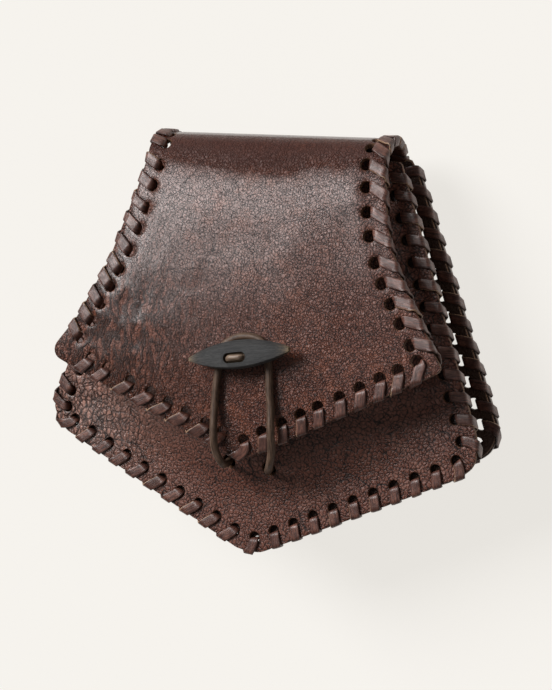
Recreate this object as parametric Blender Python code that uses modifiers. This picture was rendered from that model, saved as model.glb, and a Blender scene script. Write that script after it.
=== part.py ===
"""A laced leather belt pouch, lying on its back. Metres, +X to the right, +Y towards the roll, +Z up.

The back, the roll over the top and the flap are one bent sheet of leather. The front and the back are
five-sided with their point at the bottom, and a bellows gusset joins them. Each sheet is cut flat, with its
holes, and then bent: a Surface says where a point of the flat pattern lies.
"""

import math

import bmesh
import bpy
from mathutils import Matrix, Vector
from mathutils.geometry import delaunay_2d_cdt

# Leather, lace and cord
LEATHER = 0.0020
GUSSET_LEATHER = 0.0016
STRAP_LEATHER = 0.0022
GAP = 0.0003
LACE_WIDTH = 0.0037
LACE_THICK = 0.0011
LACE_PITCH = 0.0084
LACE_INSET = 0.0058
LACE_CLEAR = 0.0005
LACE_SLANT = 0.30
LACE_EASE = 0.0002
CORD = 0.0026

# The front and the back, measured from the point at the bottom
BODY_HEIGHT = 0.1394
SHOULDER_HALF = 0.0525
CORNER_HALF = 0.0900
CORNER_HEIGHT = 0.0434
CORNER_ROUND = 0.0095
POINT_ROUND = 0.0160
MOUTH_DEPTH = 0.0160
FRONT_TILT = math.radians(6.4)
FRONT_DROP = 0.0025
CROWN = 0.0130
CROWN_SPREAD = 0.0200
FLAT_BAND = 0.0095
MOUTH_SPREAD = 0.0450
MOUTH_SHARE = 0.25

# The roll and the flap
NECK_HALF = 0.0469
ROLL_RADIUS = 0.0120
ROLL_TURN = math.radians(163.0)
FLAP_UPPER = 0.0724
FLAP_LOWER = 0.0365
FLAP_UPPER_TURN = math.radians(6.0)
FLAP_LOWER_TURN = math.radians(18.0)
FLAP_FLARE_ROUND = 0.0800
FLAP_CORNER_ROUND = 0.0075
FLAP_POINT_ROUND = 0.0090
# Corners of the flap, rows of: side, distance past the roll's end. Its sides flare halfway down.
FLARE_RIGHT = (0.0520, 0.0299)
CORNER_RIGHT = (0.0785, 0.0704)
POINT = (0.0025, 0.1089)
CORNER_LEFT = (-0.0785, 0.0759)
FLARE_LEFT = (-0.0520, 0.0299)

# The gusset: its two flanges are laced, and between them it folds inwards
FLANGE = 0.0076
FLANGE_EDGE = 0.0004
FOLD_DEPTH = 0.0140
FOLD_EASE = 0.0140
CORNER_FOLD_SHARE = 0.05
POINT_FOLD_SHARE = 0.35

# The toggle, its tie and the closure loop
TOGGLE_LENGTH = 0.0388
TOGGLE_WIDTH = 0.0106
TOGGLE_THICK = 0.0050
TOGGLE_TURN = math.radians(10.0)
TOGGLE_OFF_TIE = (0.0010, 0.0012)
TIE_SIDE = 0.0019
TIE_BELOW_ROLL = 0.0723
SLOT_LENGTH = 0.0086
SLOT_WIDTH = 0.0036
SLOT_DEPTH = 0.0022
TIE_CORD = 0.0024
TIE_HALF = 0.0027
LOOP_HOLE_RADIUS = 0.0024
LOOP_HOLES = (Vector((-0.0053, 0.0344)), Vector((0.0102, 0.0333)))

# The strap on the back that the belt goes through
STRAP_WIDTH = 0.0520
STRAP_FLAT = 0.0640
STRAP_RAMP = 0.0080
STRAP_FLANGE = 0.0110
STRAP_MIDDLE = 0.0880
BELT_GAP = 0.0046

# Rows of points inside the flap: share of the way to its point, half their spread
FLAP_ROWS = ((0.17, 0.036), (0.34, 0.042), (0.50, 0.050), (0.62, 0.056), (0.74, 0.040), (0.86, 0.018))

# Rows of a table: share of the toggle's half length, share of its half width
LEAF = ((-1.00, 0.16), (-0.78, 0.50), (-0.50, 0.80), (-0.20, 0.97), (0.12, 1.00), (0.42, 0.86),
        (0.70, 0.60), (0.88, 0.36), (1.00, 0.18))

# The loop's route over the flap, rows of: side, distance below the toggle's tie, height over the flap.
# All are in metres, and the heights count from the flap's outer face to the middle of the cord.
LOOP_OVER_FLAP = ((-0.0078, 0.0380, 0.0020), (-0.0086, 0.0335, 0.0038), (-0.0088, 0.0262, 0.0037),
                  (-0.0090, 0.0180, 0.0022), (-0.0090, 0.0110, 0.0017), (-0.0084, 0.0030, 0.0017),
                  (-0.0064, -0.0062, 0.0017), (0.0010, -0.0100, 0.0017), (0.0080, -0.0078, 0.0017),
                  (0.0107, 0.0014, 0.0017), (0.0120, 0.0110, 0.0017), (0.0130, 0.0170, 0.0022),
                  (0.0131, 0.0240, 0.0037), (0.0124, 0.0310, 0.0038), (0.0104, 0.0365, 0.0020))

BACK_Z = STRAP_LEATHER + BELT_GAP + LEATHER / 2
ROLL_LENGTH = ROLL_RADIUS * ROLL_TURN
ROLL_END = BODY_HEIGHT + ROLL_LENGTH
GUSSET_OFF = LEATHER / 2 + GAP + GUSSET_LEATHER / 2
FOLD_WIDTH = 2 * FOLD_DEPTH
GUSSET_WIDTH = 2 * FLANGE + FOLD_WIDTH


def signed_turn(into, out):
    """The angle from one direction to the next, positive to the left."""
    return math.atan2(into.x * out.y - into.y * out.x, into.dot(out))


def left_of(along):
    return Vector((-along.y, along.x))


class Path:
    """An open outline whose inner corners are arcs. at(s) gives the point and the direction after a length s."""

    def __init__(self, corners, radii):
        self.runs = []
        here = corners[0]
        for before, corner, after, radius in zip(corners, corners[1:], corners[2:], radii):
            into = (corner - before).normalized()
            out = (after - corner).normalized()
            turn = signed_turn(into, out)
            cut = radius * math.tan(abs(turn) / 2)
            start = corner - into * cut
            self.runs.append(((start - here).length, here, into, 0.0))
            self.runs.append((radius * abs(turn), start, into, turn))
            here = corner + out * cut
        last = (corners[-1] - corners[-2]).normalized()
        self.runs.append(((corners[-1] - here).length, here, last, 0.0))
        self.length = sum(run[0] for run in self.runs)

    def at(self, s):
        left = min(max(s, 0.0), self.length)
        for length, start, along, turn in self.runs[:-1]:
            if left <= length:
                break
            left -= length
        else:
            length, start, along, turn = self.runs[-1]
        if not turn:
            return start + along * left, along
        angle = turn * left / length
        radius = length / turn
        heading = math.atan2(along.y, along.x) + angle
        turned = Vector((math.cos(heading), math.sin(heading)))
        centre = start + left_of(along) * radius
        return centre - left_of(turned) * radius, turned

    def curvature(self, s):
        """How fast the path turns at a length s, positive to the left."""
        for length, _start, _along, turn in self.runs:
            if s <= length:
                return turn / length
            s -= length
        return 0.0

    def stations(self, straight, arc_steps):
        """Lengths that cut each straight run into steps of about that size, and each arc into equal steps."""
        found = [0.0]
        for length, _start, _along, turn in self.runs:
            steps = arc_steps if turn else max(1, round(length / straight))
            begin = found[-1]
            found.extend(begin + length * (k + 1) / steps for k in range(steps))
        return found

    def corner_middles(self):
        """The length to the middle of each corner that turns left, as the outer corners do."""
        found = []
        begin = 0.0
        for length, _start, _along, turn in self.runs:
            if turn > 0:
                found.append(begin + length / 2)
            begin += length
        return found


def inset_path(corners, radii, inset):
    """The path a distance inside an outline, to the left of it, with arcs about the same centres."""
    edges = [(a, (b - a).normalized()) for a, b in zip(corners, corners[1:])]
    moved = [edges[0][0] + left_of(edges[0][1]) * inset]
    inner_radii = []
    for (a, u), (b, v), radius in zip(edges, edges[1:], radii):
        start = a + left_of(u) * inset
        apart = b + left_of(v) * inset - start
        cross = u.x * v.y - u.y * v.x
        moved.append(start + u * ((apart.x * v.y - apart.y * v.x) / cross))
        inner_radii.append(radius - math.copysign(inset, cross))
    moved.append(corners[-1] + left_of(edges[-1][1]) * inset)
    return Path(moved, inner_radii)


def body_corners():
    return [Vector((-SHOULDER_HALF, BODY_HEIGHT)), Vector((-CORNER_HALF, CORNER_HEIGHT)), Vector((0, 0)),
            Vector((CORNER_HALF, CORNER_HEIGHT)), Vector((SHOULDER_HALF, BODY_HEIGHT))]


def flap_corners():
    shaped = [Vector((side, ROLL_END + below))
              for side, below in (FLARE_RIGHT, CORNER_RIGHT, POINT, CORNER_LEFT, FLARE_LEFT)]
    return [Vector((NECK_HALF, BODY_HEIGHT)), Vector((NECK_HALF, ROLL_END)), *shaped,
            Vector((-NECK_HALF, ROLL_END)), Vector((-NECK_HALF, BODY_HEIGHT))]


BODY_RADII = (CORNER_ROUND, POINT_ROUND, CORNER_ROUND)
FLAP_RADII = (ROLL_RADIUS, FLAP_FLARE_ROUND, FLAP_CORNER_ROUND, FLAP_POINT_ROUND, FLAP_CORNER_ROUND,
              FLAP_FLARE_ROUND, ROLL_RADIUS)


class Surface:
    """A bent sheet. middle(x, y) is where its middle lies, and side tells which of its faces is the outer one."""

    def __init__(self, middle, side):
        self.middle = middle
        self.side = side

    def at(self, x, y, out=0.0):
        step = 0.0001
        along_x = self.middle(x + step, y) - self.middle(x - step, y)
        along_y = self.middle(x, y + step) - self.middle(x, y - step)
        return self.middle(x, y) + along_x.cross(along_y).normalized() * (out * self.side)


def wrap_middle(x, run):
    """The back, the roll and the flap: stretches of even turn, one after the other, along the sheet."""
    y = 0.0
    z = BACK_Z
    heading = 0.0
    stretches = ((BODY_HEIGHT, 0.0), (ROLL_LENGTH, ROLL_TURN), (FLAP_UPPER, FLAP_UPPER_TURN),
                 (FLAP_LOWER, FLAP_LOWER_TURN))
    for k, (length, turn) in enumerate(stretches):
        part = run if k == len(stretches) - 1 else min(run, length)
        bend = turn * part / length
        chord = part * (math.sin(bend / 2) / (bend / 2) if bend else 1.0)
        y += chord * math.cos(heading + bend / 2)
        z += chord * math.sin(heading + bend / 2)
        heading += bend
        run -= part
        if run <= 0:
            break
    return Vector((x, y, z))


def crown(x, y):
    """The swell of the front: none in its laced bands, and only a share of it at the mouth."""
    swell = CROWN
    corners = body_corners()
    for a, b in zip(corners, corners[1:]):
        along = (b - a).normalized()
        depth = max(0.0, along.x * (y - a.y) - along.y * (x - a.x) - FLAT_BAND)
        swell *= 1 - math.exp(-((depth / CROWN_SPREAD) ** 2))
    below_mouth = max(0.0, BODY_HEIGHT - y)
    closed = 1 - math.exp(-((below_mouth / MOUTH_SPREAD) ** 2))
    return swell * (MOUTH_SHARE + (1 - MOUTH_SHARE) * closed)


def front_middle(x, y):
    """The front: a plane that leans away from the back towards the point, with its crown on it."""
    down = BODY_HEIGHT - y
    swell = crown(x, y)
    return Vector((x, BODY_HEIGHT - FRONT_DROP - down * math.cos(FRONT_TILT) + swell * math.sin(FRONT_TILT),
                   BACK_Z + MOUTH_DEPTH + down * math.sin(FRONT_TILT) + swell * math.cos(FRONT_TILT)))


WRAP = Surface(wrap_middle, -1)
FRONT = Surface(front_middle, 1)
BODY_SEAM = inset_path(body_corners(), BODY_RADII, LACE_INSET)
FLAP_SEAM = inset_path(flap_corners(), FLAP_RADII, LACE_INSET)


def seam_holes(path):
    """Lengths along a seam of its holes: one at each outer corner, and even steps between."""
    anchors = [LACE_PITCH / 2] + path.corner_middles() + [path.length - LACE_PITCH / 2]
    found = [anchors[0]]
    for a, b in zip(anchors, anchors[1:]):
        steps = round((b - a) / LACE_PITCH)
        found.extend(a + (b - a) * (k + 1) / steps for k in range(steps))
    return found


BODY_HOLES = seam_holes(BODY_SEAM)
FLAP_HOLES = seam_holes(FLAP_SEAM)


def seam_point(path, s, out, side=0.0):
    """The flat point beside a seam: out is from the holes towards the edge, and side is along the seam."""
    point, along = path.at(s)
    return point - left_of(along) * out + along * side


SLOT_CORNERS = [(out * (LACE_THICK / 2 + LACE_CLEAR), side * (LACE_WIDTH / 2 + LACE_CLEAR))
                for out, side in ((-1, -1), (-1, 1), (1, 1), (1, -1))]


def lace_slot(path, s):
    """The four corners of the slot that a lace goes through."""
    return [seam_point(path, s, out, side) for out, side in SLOT_CORNERS]


def unrolled_slot(s):
    """The same slot on the gusset: places along the seam and distances out, allowing for the seam's bend."""
    curvature = BODY_SEAM.curvature(s)
    if not curvature:
        return [(s + side, out) for out, side in SLOT_CORNERS]
    radius = 1 / curvature
    return [(s + radius * math.atan2(side, radius + out), math.hypot(side, radius + out) - radius)
            for out, side in SLOT_CORNERS]


def round_hole(centre, radius, sides=8):
    angles = [2 * math.pi * (k + 0.5) / sides for k in range(sides)]
    return [centre + Vector((math.cos(a), math.sin(a))) * radius for a in angles]


def fold_depth(u):
    """The gusset's fold at a place on the seam: a share of its depth at each corner, easing out on both sides."""
    depth = FOLD_DEPTH
    begin = 0.0
    shares = iter((CORNER_FOLD_SHARE, POINT_FOLD_SHARE, CORNER_FOLD_SHARE))
    for length, _start, _along, turn in BODY_SEAM.runs:
        if turn:
            away = max(begin - u, u - begin - length, 0.0)
            depth *= 1 - (1 - next(shares)) * math.exp(-((away / FOLD_EASE) ** 2))
        begin += length
    return depth


def gusset_middle(u, across):
    """The gusset: u runs along the seam, across from the front edge to the back edge.

    The two flanges lie behind the front and on the back. Between them the strip goes inwards by half a sine
    wave of the fold's depth, and the corners bulge out because their fold is shallow.
    """
    level = min(max((across - FLANGE) / FOLD_WIDTH, 0.0), 1.0)
    inset = FLANGE_EDGE + min(across, FLANGE, GUSSET_WIDTH - across) + fold_depth(u) * math.sin(math.pi * level)
    flat = seam_point(BODY_SEAM, u, LACE_INSET - inset)
    front = FRONT.at(flat.x, flat.y, -GUSSET_OFF)
    back = WRAP.at(flat.x, flat.y, -GUSSET_OFF)
    return front.lerp(back, level)


GUSSET = Surface(gusset_middle, 1)


def new_object(name, data, colour, roughness):
    """An object of its own in the pouch's collection, with its material."""
    piece = bpy.data.objects.new(name, data)
    POUCH.objects.link(piece)
    material = bpy.data.materials.new(name)
    material.use_nodes = True
    shader = material.node_tree.nodes["Principled BSDF"]
    shader.inputs["Base Color"].default_value = (*colour, 1)
    shader.inputs["Roughness"].default_value = roughness
    shader.inputs["Metallic"].default_value = 0.0
    data.materials.append(material)
    return piece


def inside(point, loop):
    """Whether a flat point lies inside a closed loop, by counting where a ray crosses it."""
    crossings = 0
    for a, b in zip(loop, loop[1:] + loop[:1]):
        if (a.y > point.y) != (b.y > point.y):
            crossings += point.x < a.x + (b.x - a.x) * (point.y - a.y) / (b.y - a.y)
    return crossings % 2 == 1


def bent_sheet(outline, holes, lines, surface, thickness, name, colour, roughness):
    """A solid sheet: a flat outline less its holes is triangulated, bent on its surface and given its wall."""
    points = []
    edges = []
    for loop, closed in [(outline, True), *((hole, True) for hole in holes), *((line, False) for line in lines)]:
        first = len(points)
        points.extend(loop)
        edges.extend((first + k, first + k + 1) for k in range(len(loop) - 1))
        if closed:
            edges.append((first + len(loop) - 1, first))
    flat, _edges, faces, *_origins = delaunay_2d_cdt(points, edges, [], 0, 1e-7)
    kept = []
    for face in faces:
        middle = sum((flat[k] for k in face), Vector((0, 0))) / 3
        near = [hole for hole in holes if (middle - hole[0]).length < 4 * LOOP_HOLE_RADIUS]
        if inside(middle, outline) and not any(inside(middle, hole) for hole in near):
            kept.append(face)
    mesh = bpy.data.meshes.new(name)
    mesh.from_pydata([surface.at(point.x, point.y) for point in flat], [], kept)
    tidy = bmesh.new()
    tidy.from_mesh(mesh)
    bmesh.ops.delete(tidy, geom=[v for v in tidy.verts if not v.link_faces], context="VERTS")
    bmesh.ops.recalc_face_normals(tidy, faces=tidy.faces)
    tidy.to_mesh(mesh)
    tidy.free()
    sheet = new_object(name, mesh, colour, roughness)
    wall = sheet.modifiers.new("Wall", "SOLIDIFY")
    wall.thickness = thickness
    wall.offset = 0


def divided(outline, rows):
    """The closed outline with a point added wherever one of its edges crosses a row."""
    fine = []
    for a, b in zip(outline, outline[1:] + outline[:1]):
        fine.append(a)
        low, high = sorted((a.y, b.y))
        crossed = [row for row in rows if low + LEATHER / 4 < row < high - LEATHER / 4]
        for row in sorted(crossed, reverse=a.y > b.y):
            fine.append(a.lerp(b, (row - a.y) / (b.y - a.y)))
    return fine


def path_points(path, arc_steps):
    return [path.at(s)[0] for s in path.stations(path.length, arc_steps)]


def tie_middle():
    """The flat point of the flap under the toggle's tie."""
    return Vector((TIE_SIDE, ROLL_END + TIE_BELOW_ROLL))


def tie_holes():
    along = Vector((math.cos(TOGGLE_TURN), -math.sin(TOGGLE_TURN))) * TIE_HALF
    radius = (TIE_CORD / 2 + GAP) / math.cos(math.pi / 8)
    return [round_hole(tie_middle() + along * side, radius) for side in (-1, 1)]


def build_back_and_flap():
    outline = path_points(Path(body_corners(), BODY_RADII), 4)
    outline += path_points(Path(flap_corners(), FLAP_RADII), 3)
    roll_steps = 11
    rows = [BODY_HEIGHT + ROLL_LENGTH * k / roll_steps for k in range(roll_steps + 1)]
    lines = []
    for run in rows:
        half = NECK_HALF - 2 * LACE_INSET
        lines.append([Vector((half * share, run)) for share in (-1, -0.33, 0.33, 1)])
    for share, half in FLAP_ROWS:
        lines.append([Vector((half * side, ROLL_END + POINT[1] * share)) for side in (-1, -0.5, 0, 0.5, 1)])
        rows.append(ROLL_END + POINT[1] * share)
    slots = [lace_slot(BODY_SEAM, s) for s in BODY_HOLES] + [lace_slot(FLAP_SEAM, s) for s in FLAP_HOLES]
    bent_sheet(divided(outline, rows), slots + tie_holes(), lines, WRAP, LEATHER,
               "back_and_flap", (0.09, 0.032, 0.022), 0.45)


def build_front_panel():
    outline = path_points(Path(body_corners(), BODY_RADII), 4)
    corners = body_corners()
    lines = []
    band = 2 * LACE_INSET
    step = BODY_HEIGHT / 9
    for row in range(1, 10):
        y = BODY_HEIGHT - row * step if row < 9 else BODY_HEIGHT - LACE_INSET / 2
        for k in range(-5, 6):
            point = Vector((k * step * 1.1, y))
            depth = min((b - a).normalized().x * (y - a.y) - (b - a).normalized().y * (point.x - a.x)
                        for a, b in zip(corners, corners[1:]))
            if depth > band:
                lines.append([point])
    holes = [lace_slot(BODY_SEAM, s) for s in BODY_HOLES]
    holes += [round_hole(centre, LOOP_HOLE_RADIUS) for centre in LOOP_HOLES]
    bent_sheet(outline, holes, lines, FRONT, LEATHER, "front_panel", (0.08, 0.030, 0.022), 0.55)


def build_gusset():
    stations = BODY_SEAM.stations(2.4 * LACE_PITCH, 3)
    outline = [Vector((u, 0)) for u in stations] + [Vector((u, GUSSET_WIDTH)) for u in reversed(stations)]
    lines = []
    for share in (0, 0.25, 0.5, 0.75, 1):
        lines.append([Vector((u, FLANGE + FOLD_WIDTH * share)) for u in stations])
    middle = LACE_INSET - FLANGE_EDGE
    slots = []
    for s in BODY_HOLES:
        slot = unrolled_slot(s)
        slots.append([Vector((u, middle - out)) for u, out in slot])
        slots.append([Vector((u, GUSSET_WIDTH - middle + out)) for u, out in slot])
    bent_sheet(outline, slots, lines, GUSSET, GUSSET_LEATHER, "gusset", (0.045, 0.022, 0.018), 0.6)


def build_lacing(name, path, holes, surface, depth, sense):
    """A flat lace whipped over an edge. Each stitch comes up through its hole, goes over the edge a little
    to one side, and comes back below to the next hole, with its corners mitred."""
    thick = LACE_THICK
    top = LEATHER / 2 + LACE_CLEAR
    bottom = -depth - LACE_CLEAR
    over = LACE_INSET + LACE_CLEAR + LACE_EASE
    mesh = bmesh.new()
    sections = []
    order = list(holes) if sense > 0 else list(reversed(holes))
    ends = [*order[1:], order[-1]]
    for here, following in zip(order, ends):
        step = (following - here) or sense * LACE_PITCH / 2
        # Rows: place along the seam, inner corner's out and height, outer corner's out and height
        corners = ((here, thick / 2, bottom, -thick / 2, bottom - thick),
                   (here, thick / 2, top, -thick / 2, top + thick),
                   (here + step * LACE_SLANT, over, top, over + thick, top + thick),
                   (here + step * 2 * LACE_SLANT, over, bottom, over + thick, bottom - thick))
        for s, inner_out, inner_up, outer_out, outer_up in corners:
            section = []
            for out, up, side in ((inner_out, inner_up, -1), (inner_out, inner_up, 1),
                                  (outer_out, outer_up, 1), (outer_out, outer_up, -1)):
                flat = seam_point(path, s, out, side * sense * LACE_WIDTH / 2)
                section.append(mesh.verts.new(surface.at(flat.x, flat.y, up)))
            sections.append(section)
    for a, b in zip(sections, sections[1:]):
        for k in range(4):
            mesh.faces.new((a[k], a[(k + 1) % 4], b[(k + 1) % 4], b[k]))
    mesh.faces.new(sections[0])
    mesh.faces.new(sections[-1])
    bmesh.ops.recalc_face_normals(mesh, faces=mesh.faces)
    data = bpy.data.meshes.new(name)
    mesh.to_mesh(data)
    mesh.free()
    new_object(name, data, (0.13, 0.06, 0.05), 0.4)


def smooth_route(points, steps):
    """A closed curve through the points: on each span a cubic whose slopes join their neighbours' places."""
    found = []
    count = len(points)
    for k in range(count):
        before, a, b, after = (points[(k + j) % count] for j in (-1, 0, 1, 2))
        for step in range(steps):
            t = step / steps
            found.append(0.5 * (2 * a + (b - before) * t + (2 * before - 5 * a + 4 * b - after) * t ** 2
                                + (3 * a - before - 3 * b + after) * t ** 3))
    return found


def build_cord(name, points, thickness, colour):
    """A closed ring of cord through the points."""
    curve = bpy.data.curves.new(name, "CURVE")
    curve.dimensions = "3D"
    curve.bevel_depth = thickness / 2
    curve.bevel_resolution = 2
    spline = curve.splines.new("POLY")
    spline.points.add(len(points) - 1)
    for place, point in zip(spline.points, points):
        place.co = (*point, 1)
    spline.use_cyclic_u = True
    return new_object(name, curve, colour, 0.6)


def toggle_frame():
    """Where the toggle lies: its length, its width and its height as the axes of a matrix."""
    middle = tie_middle()
    place = WRAP.at(middle.x, middle.y, LEATHER / 2)
    up = (WRAP.at(middle.x, middle.y, LEATHER) - place).normalized()
    right = Vector((1, 0, 0))
    frame = Matrix((right, up.cross(right), up)).transposed().to_4x4()
    frame.translation = place
    return frame @ Matrix.Rotation(TOGGLE_TURN, 4, "Z")


TOGGLE_BASE = 2 * GAP + CORD


def cutter(name, mesh):
    piece = bpy.data.objects.new(name, mesh)
    CUTTERS.objects.link(piece)
    piece.hide_render = True
    piece.display_type = "WIRE"
    piece.matrix_world = toggle_frame()
    return piece


def slot_cutter():
    """The shallow slot on the toggle's face, as a flat outline with round ends that is given a height."""
    curve = bpy.data.curves.new("slot", "CURVE")
    curve.dimensions = "2D"
    curve.fill_mode = "BOTH"
    curve.extrude = SLOT_DEPTH
    spline = curve.splines.new("POLY")
    straight = (SLOT_LENGTH - SLOT_WIDTH) / 2
    outline = []
    for end in (1, -1):
        for k in range(7):
            angle = math.pi * (k / 6 - 0.5)
            outline.append((end * (straight + SLOT_WIDTH / 2 * math.cos(angle)),
                            end * SLOT_WIDTH / 2 * math.sin(angle)))
    spline.points.add(len(outline) - 1)
    for place, (x, y) in zip(spline.points, outline):
        place.co = (x, y, 0, 1)
    spline.use_cyclic_u = True
    return as_mesh(curve, Matrix.Translation((0, 0, TOGGLE_BASE + TOGGLE_THICK)))


def as_mesh(curve, matrix):
    """The closed mesh of a curve, moved by a matrix."""
    holder = bpy.data.objects.new("holder", curve)
    bpy.context.scene.collection.objects.link(holder)
    bpy.context.view_layer.update()
    mesh = bpy.data.meshes.new_from_object(holder.evaluated_get(bpy.context.evaluated_depsgraph_get()))
    bpy.data.objects.remove(holder)
    welded = bmesh.new()
    welded.from_mesh(mesh)
    bmesh.ops.remove_doubles(welded, verts=welded.verts, dist=0.00001)
    bmesh.ops.transform(welded, matrix=matrix, verts=welded.verts)
    bmesh.ops.recalc_face_normals(welded, faces=welded.faces)
    welded.to_mesh(mesh)
    welded.free()
    return mesh


def build_toggle():
    """A spindle with the leaf's widths, flattened, less its slot and the two holes of the tie."""
    curve = bpy.data.curves.new("toggle", "CURVE")
    curve.dimensions = "3D"
    curve.bevel_depth = TOGGLE_WIDTH / 2
    curve.bevel_resolution = 3
    curve.use_fill_caps = True
    spline = curve.splines.new("POLY")
    spline.points.add(len(LEAF) - 1)
    for place, (along, width) in zip(spline.points, LEAF):
        place.co = (along * TOGGLE_LENGTH / 2, 0, 0, 1)
        place.radius = width
    flatten = Matrix.Diagonal((1, 1, TOGGLE_THICK / TOGGLE_WIDTH, 1))
    place = Matrix.Translation((*TOGGLE_OFF_TIE, TOGGLE_BASE + TOGGLE_THICK / 2))
    mesh = as_mesh(curve, place @ flatten)
    toggle = new_object("toggle", mesh, (0.05, 0.05, 0.052), 0.5)
    toggle.matrix_world = toggle_frame()
    cutters = [cutter("toggle_slot", slot_cutter())]
    for side in (-1, 1):
        hole = bmesh.new()
        bmesh.ops.create_cone(hole, cap_ends=True, segments=12, radius1=TIE_CORD / 2 + GAP,
                              radius2=TIE_CORD / 2 + GAP, depth=4 * TOGGLE_THICK,
                              matrix=Matrix.Translation((side * TIE_HALF, 0, TOGGLE_BASE)))
        mesh = bpy.data.meshes.new("tie_hole")
        hole.to_mesh(mesh)
        hole.free()
        cutters.append(cutter(f"tie_hole_{side}", mesh))
    for helper in cutters:
        cut = toggle.modifiers.new("Cut", "BOOLEAN")
        cut.operation = "DIFFERENCE"
        cut.object = helper


def build_toggle_tie():
    """A ring of cord through the toggle's two holes and the flap's, with rounded corners."""
    bend = TIE_CORD * 0.55
    bridge = TOGGLE_BASE + TOGGLE_THICK - SLOT_DEPTH
    high = bridge + GAP + TIE_CORD / 2
    low = -LEATHER - GAP - TIE_CORD / 2
    frame = toggle_frame()
    points = []
    for centre_x, centre_z, start in ((TIE_HALF - bend, high - bend, 0), (bend - TIE_HALF, high - bend, 90),
                                      (bend - TIE_HALF, low + bend, 180), (TIE_HALF - bend, low + bend, 270)):
        for k in range(4):
            angle = math.radians(start + 30 * k)
            points.append(frame @ Vector((centre_x + bend * math.cos(angle), 0, centre_z + bend * math.sin(angle))))
    build_cord("toggle_tie", points, TIE_CORD, (0.20, 0.13, 0.09))


def loop_route():
    """The closure loop: up out of one hole, round behind the toggle, down into the other, and across inside."""
    left, right = LOOP_HOLES
    middle = tie_middle()
    inner = -(LEATHER / 2 + GAP + CORD / 2)
    route = [FRONT.at(left.x, left.y, inner), FRONT.at(left.x, left.y, LEATHER)]
    for side, below, height in LOOP_OVER_FLAP:
        route.append(WRAP.at(middle.x + side, middle.y + below, LEATHER / 2 + height))
    route += [FRONT.at(right.x, right.y, LEATHER), FRONT.at(right.x, right.y, inner)]
    between = (left + right) / 2
    route.append(FRONT.at(between.x, between.y, inner - CORD / 2))
    return route


def build_strap():
    """The belt's strap: flanges on the back, ramps, and a flat that the pouch lies on."""
    flange_z = BACK_Z - LEATHER / 2 - GAP - STRAP_LEATHER / 2
    flat_z = STRAP_LEATHER / 2
    half = STRAP_FLAT / 2
    profile = [(-half - STRAP_RAMP - STRAP_FLANGE, flange_z), (-half - STRAP_RAMP, flange_z), (-half, flat_z),
               (half, flat_z), (half + STRAP_RAMP, flange_z), (half + STRAP_RAMP + STRAP_FLANGE, flange_z)]
    points = [(side * STRAP_WIDTH / 2, STRAP_MIDDLE + y, z) for y, z in profile for side in (-1, 1)]
    faces = [(2 * k, 2 * k + 1, 2 * k + 3, 2 * k + 2) for k in range(len(profile) - 1)]
    mesh = bpy.data.meshes.new("belt_loop")
    mesh.from_pydata(points, [], faces)
    strap = new_object("belt_loop", mesh, (0.08, 0.03, 0.022), 0.55)
    wall = strap.modifiers.new("Wall", "SOLIDIFY")
    wall.thickness = STRAP_LEATHER
    wall.offset = 0
    wall.use_even_offset = True


def centre_on_origin():
    """Moves every piece alike, so that the origin lies under the middle of the whole pouch's box."""
    bpy.context.view_layer.update()
    graph = bpy.context.evaluated_depsgraph_get()
    points = []
    for piece in POUCH.objects:
        solid = piece.evaluated_get(graph)
        points += [piece.matrix_world @ vertex.co for vertex in solid.to_mesh().vertices]
        solid.to_mesh_clear()
    middles = [(min(p[axis] for p in points) + max(p[axis] for p in points)) / 2 for axis in (0, 1)]
    for piece in [*POUCH.objects, *CUTTERS.objects]:
        piece.matrix_world = Matrix.Translation((-middles[0], -middles[1], 0)) @ piece.matrix_world


for old in list(bpy.data.objects):
    bpy.data.objects.remove(old)
POUCH = bpy.data.collections.new("belt_pouch")
CUTTERS = bpy.data.collections.new("cutters")
for collection in (POUCH, CUTTERS):
    bpy.context.scene.collection.children.link(collection)

build_back_and_flap()
build_front_panel()
build_gusset()
STACK = LEATHER / 2 + GAP + GUSSET_LEATHER
build_lacing("flap_lacing", FLAP_SEAM, FLAP_HOLES, WRAP, LEATHER / 2, 1)
build_lacing("front_lacing", BODY_SEAM, BODY_HOLES, FRONT, STACK, -1)
build_lacing("back_lacing", BODY_SEAM, BODY_HOLES, WRAP, STACK, -1)
build_toggle()
build_toggle_tie()
build_cord("closure_loop", smooth_route(loop_route(), 2), CORD, (0.09, 0.065, 0.045))
build_strap()
centre_on_origin()
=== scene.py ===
# %% [markdown]
# # A laced leather belt pouch
# One bent sheet of leather is the back, the roll over the top and the flap. A second sheet is the front, and
# a bellows gusset joins the two. Flat lace is whipped over every edge, and a toggle with a cord closes the
# flap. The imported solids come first, as a fixed frame. Each one is then replaced by a finer piece in the same
# place.

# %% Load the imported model
import math
from functools import partial

import bpy
import numpy as np
from mathutils import Matrix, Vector
from mathutils.geometry import delaunay_2d_cdt


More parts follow.
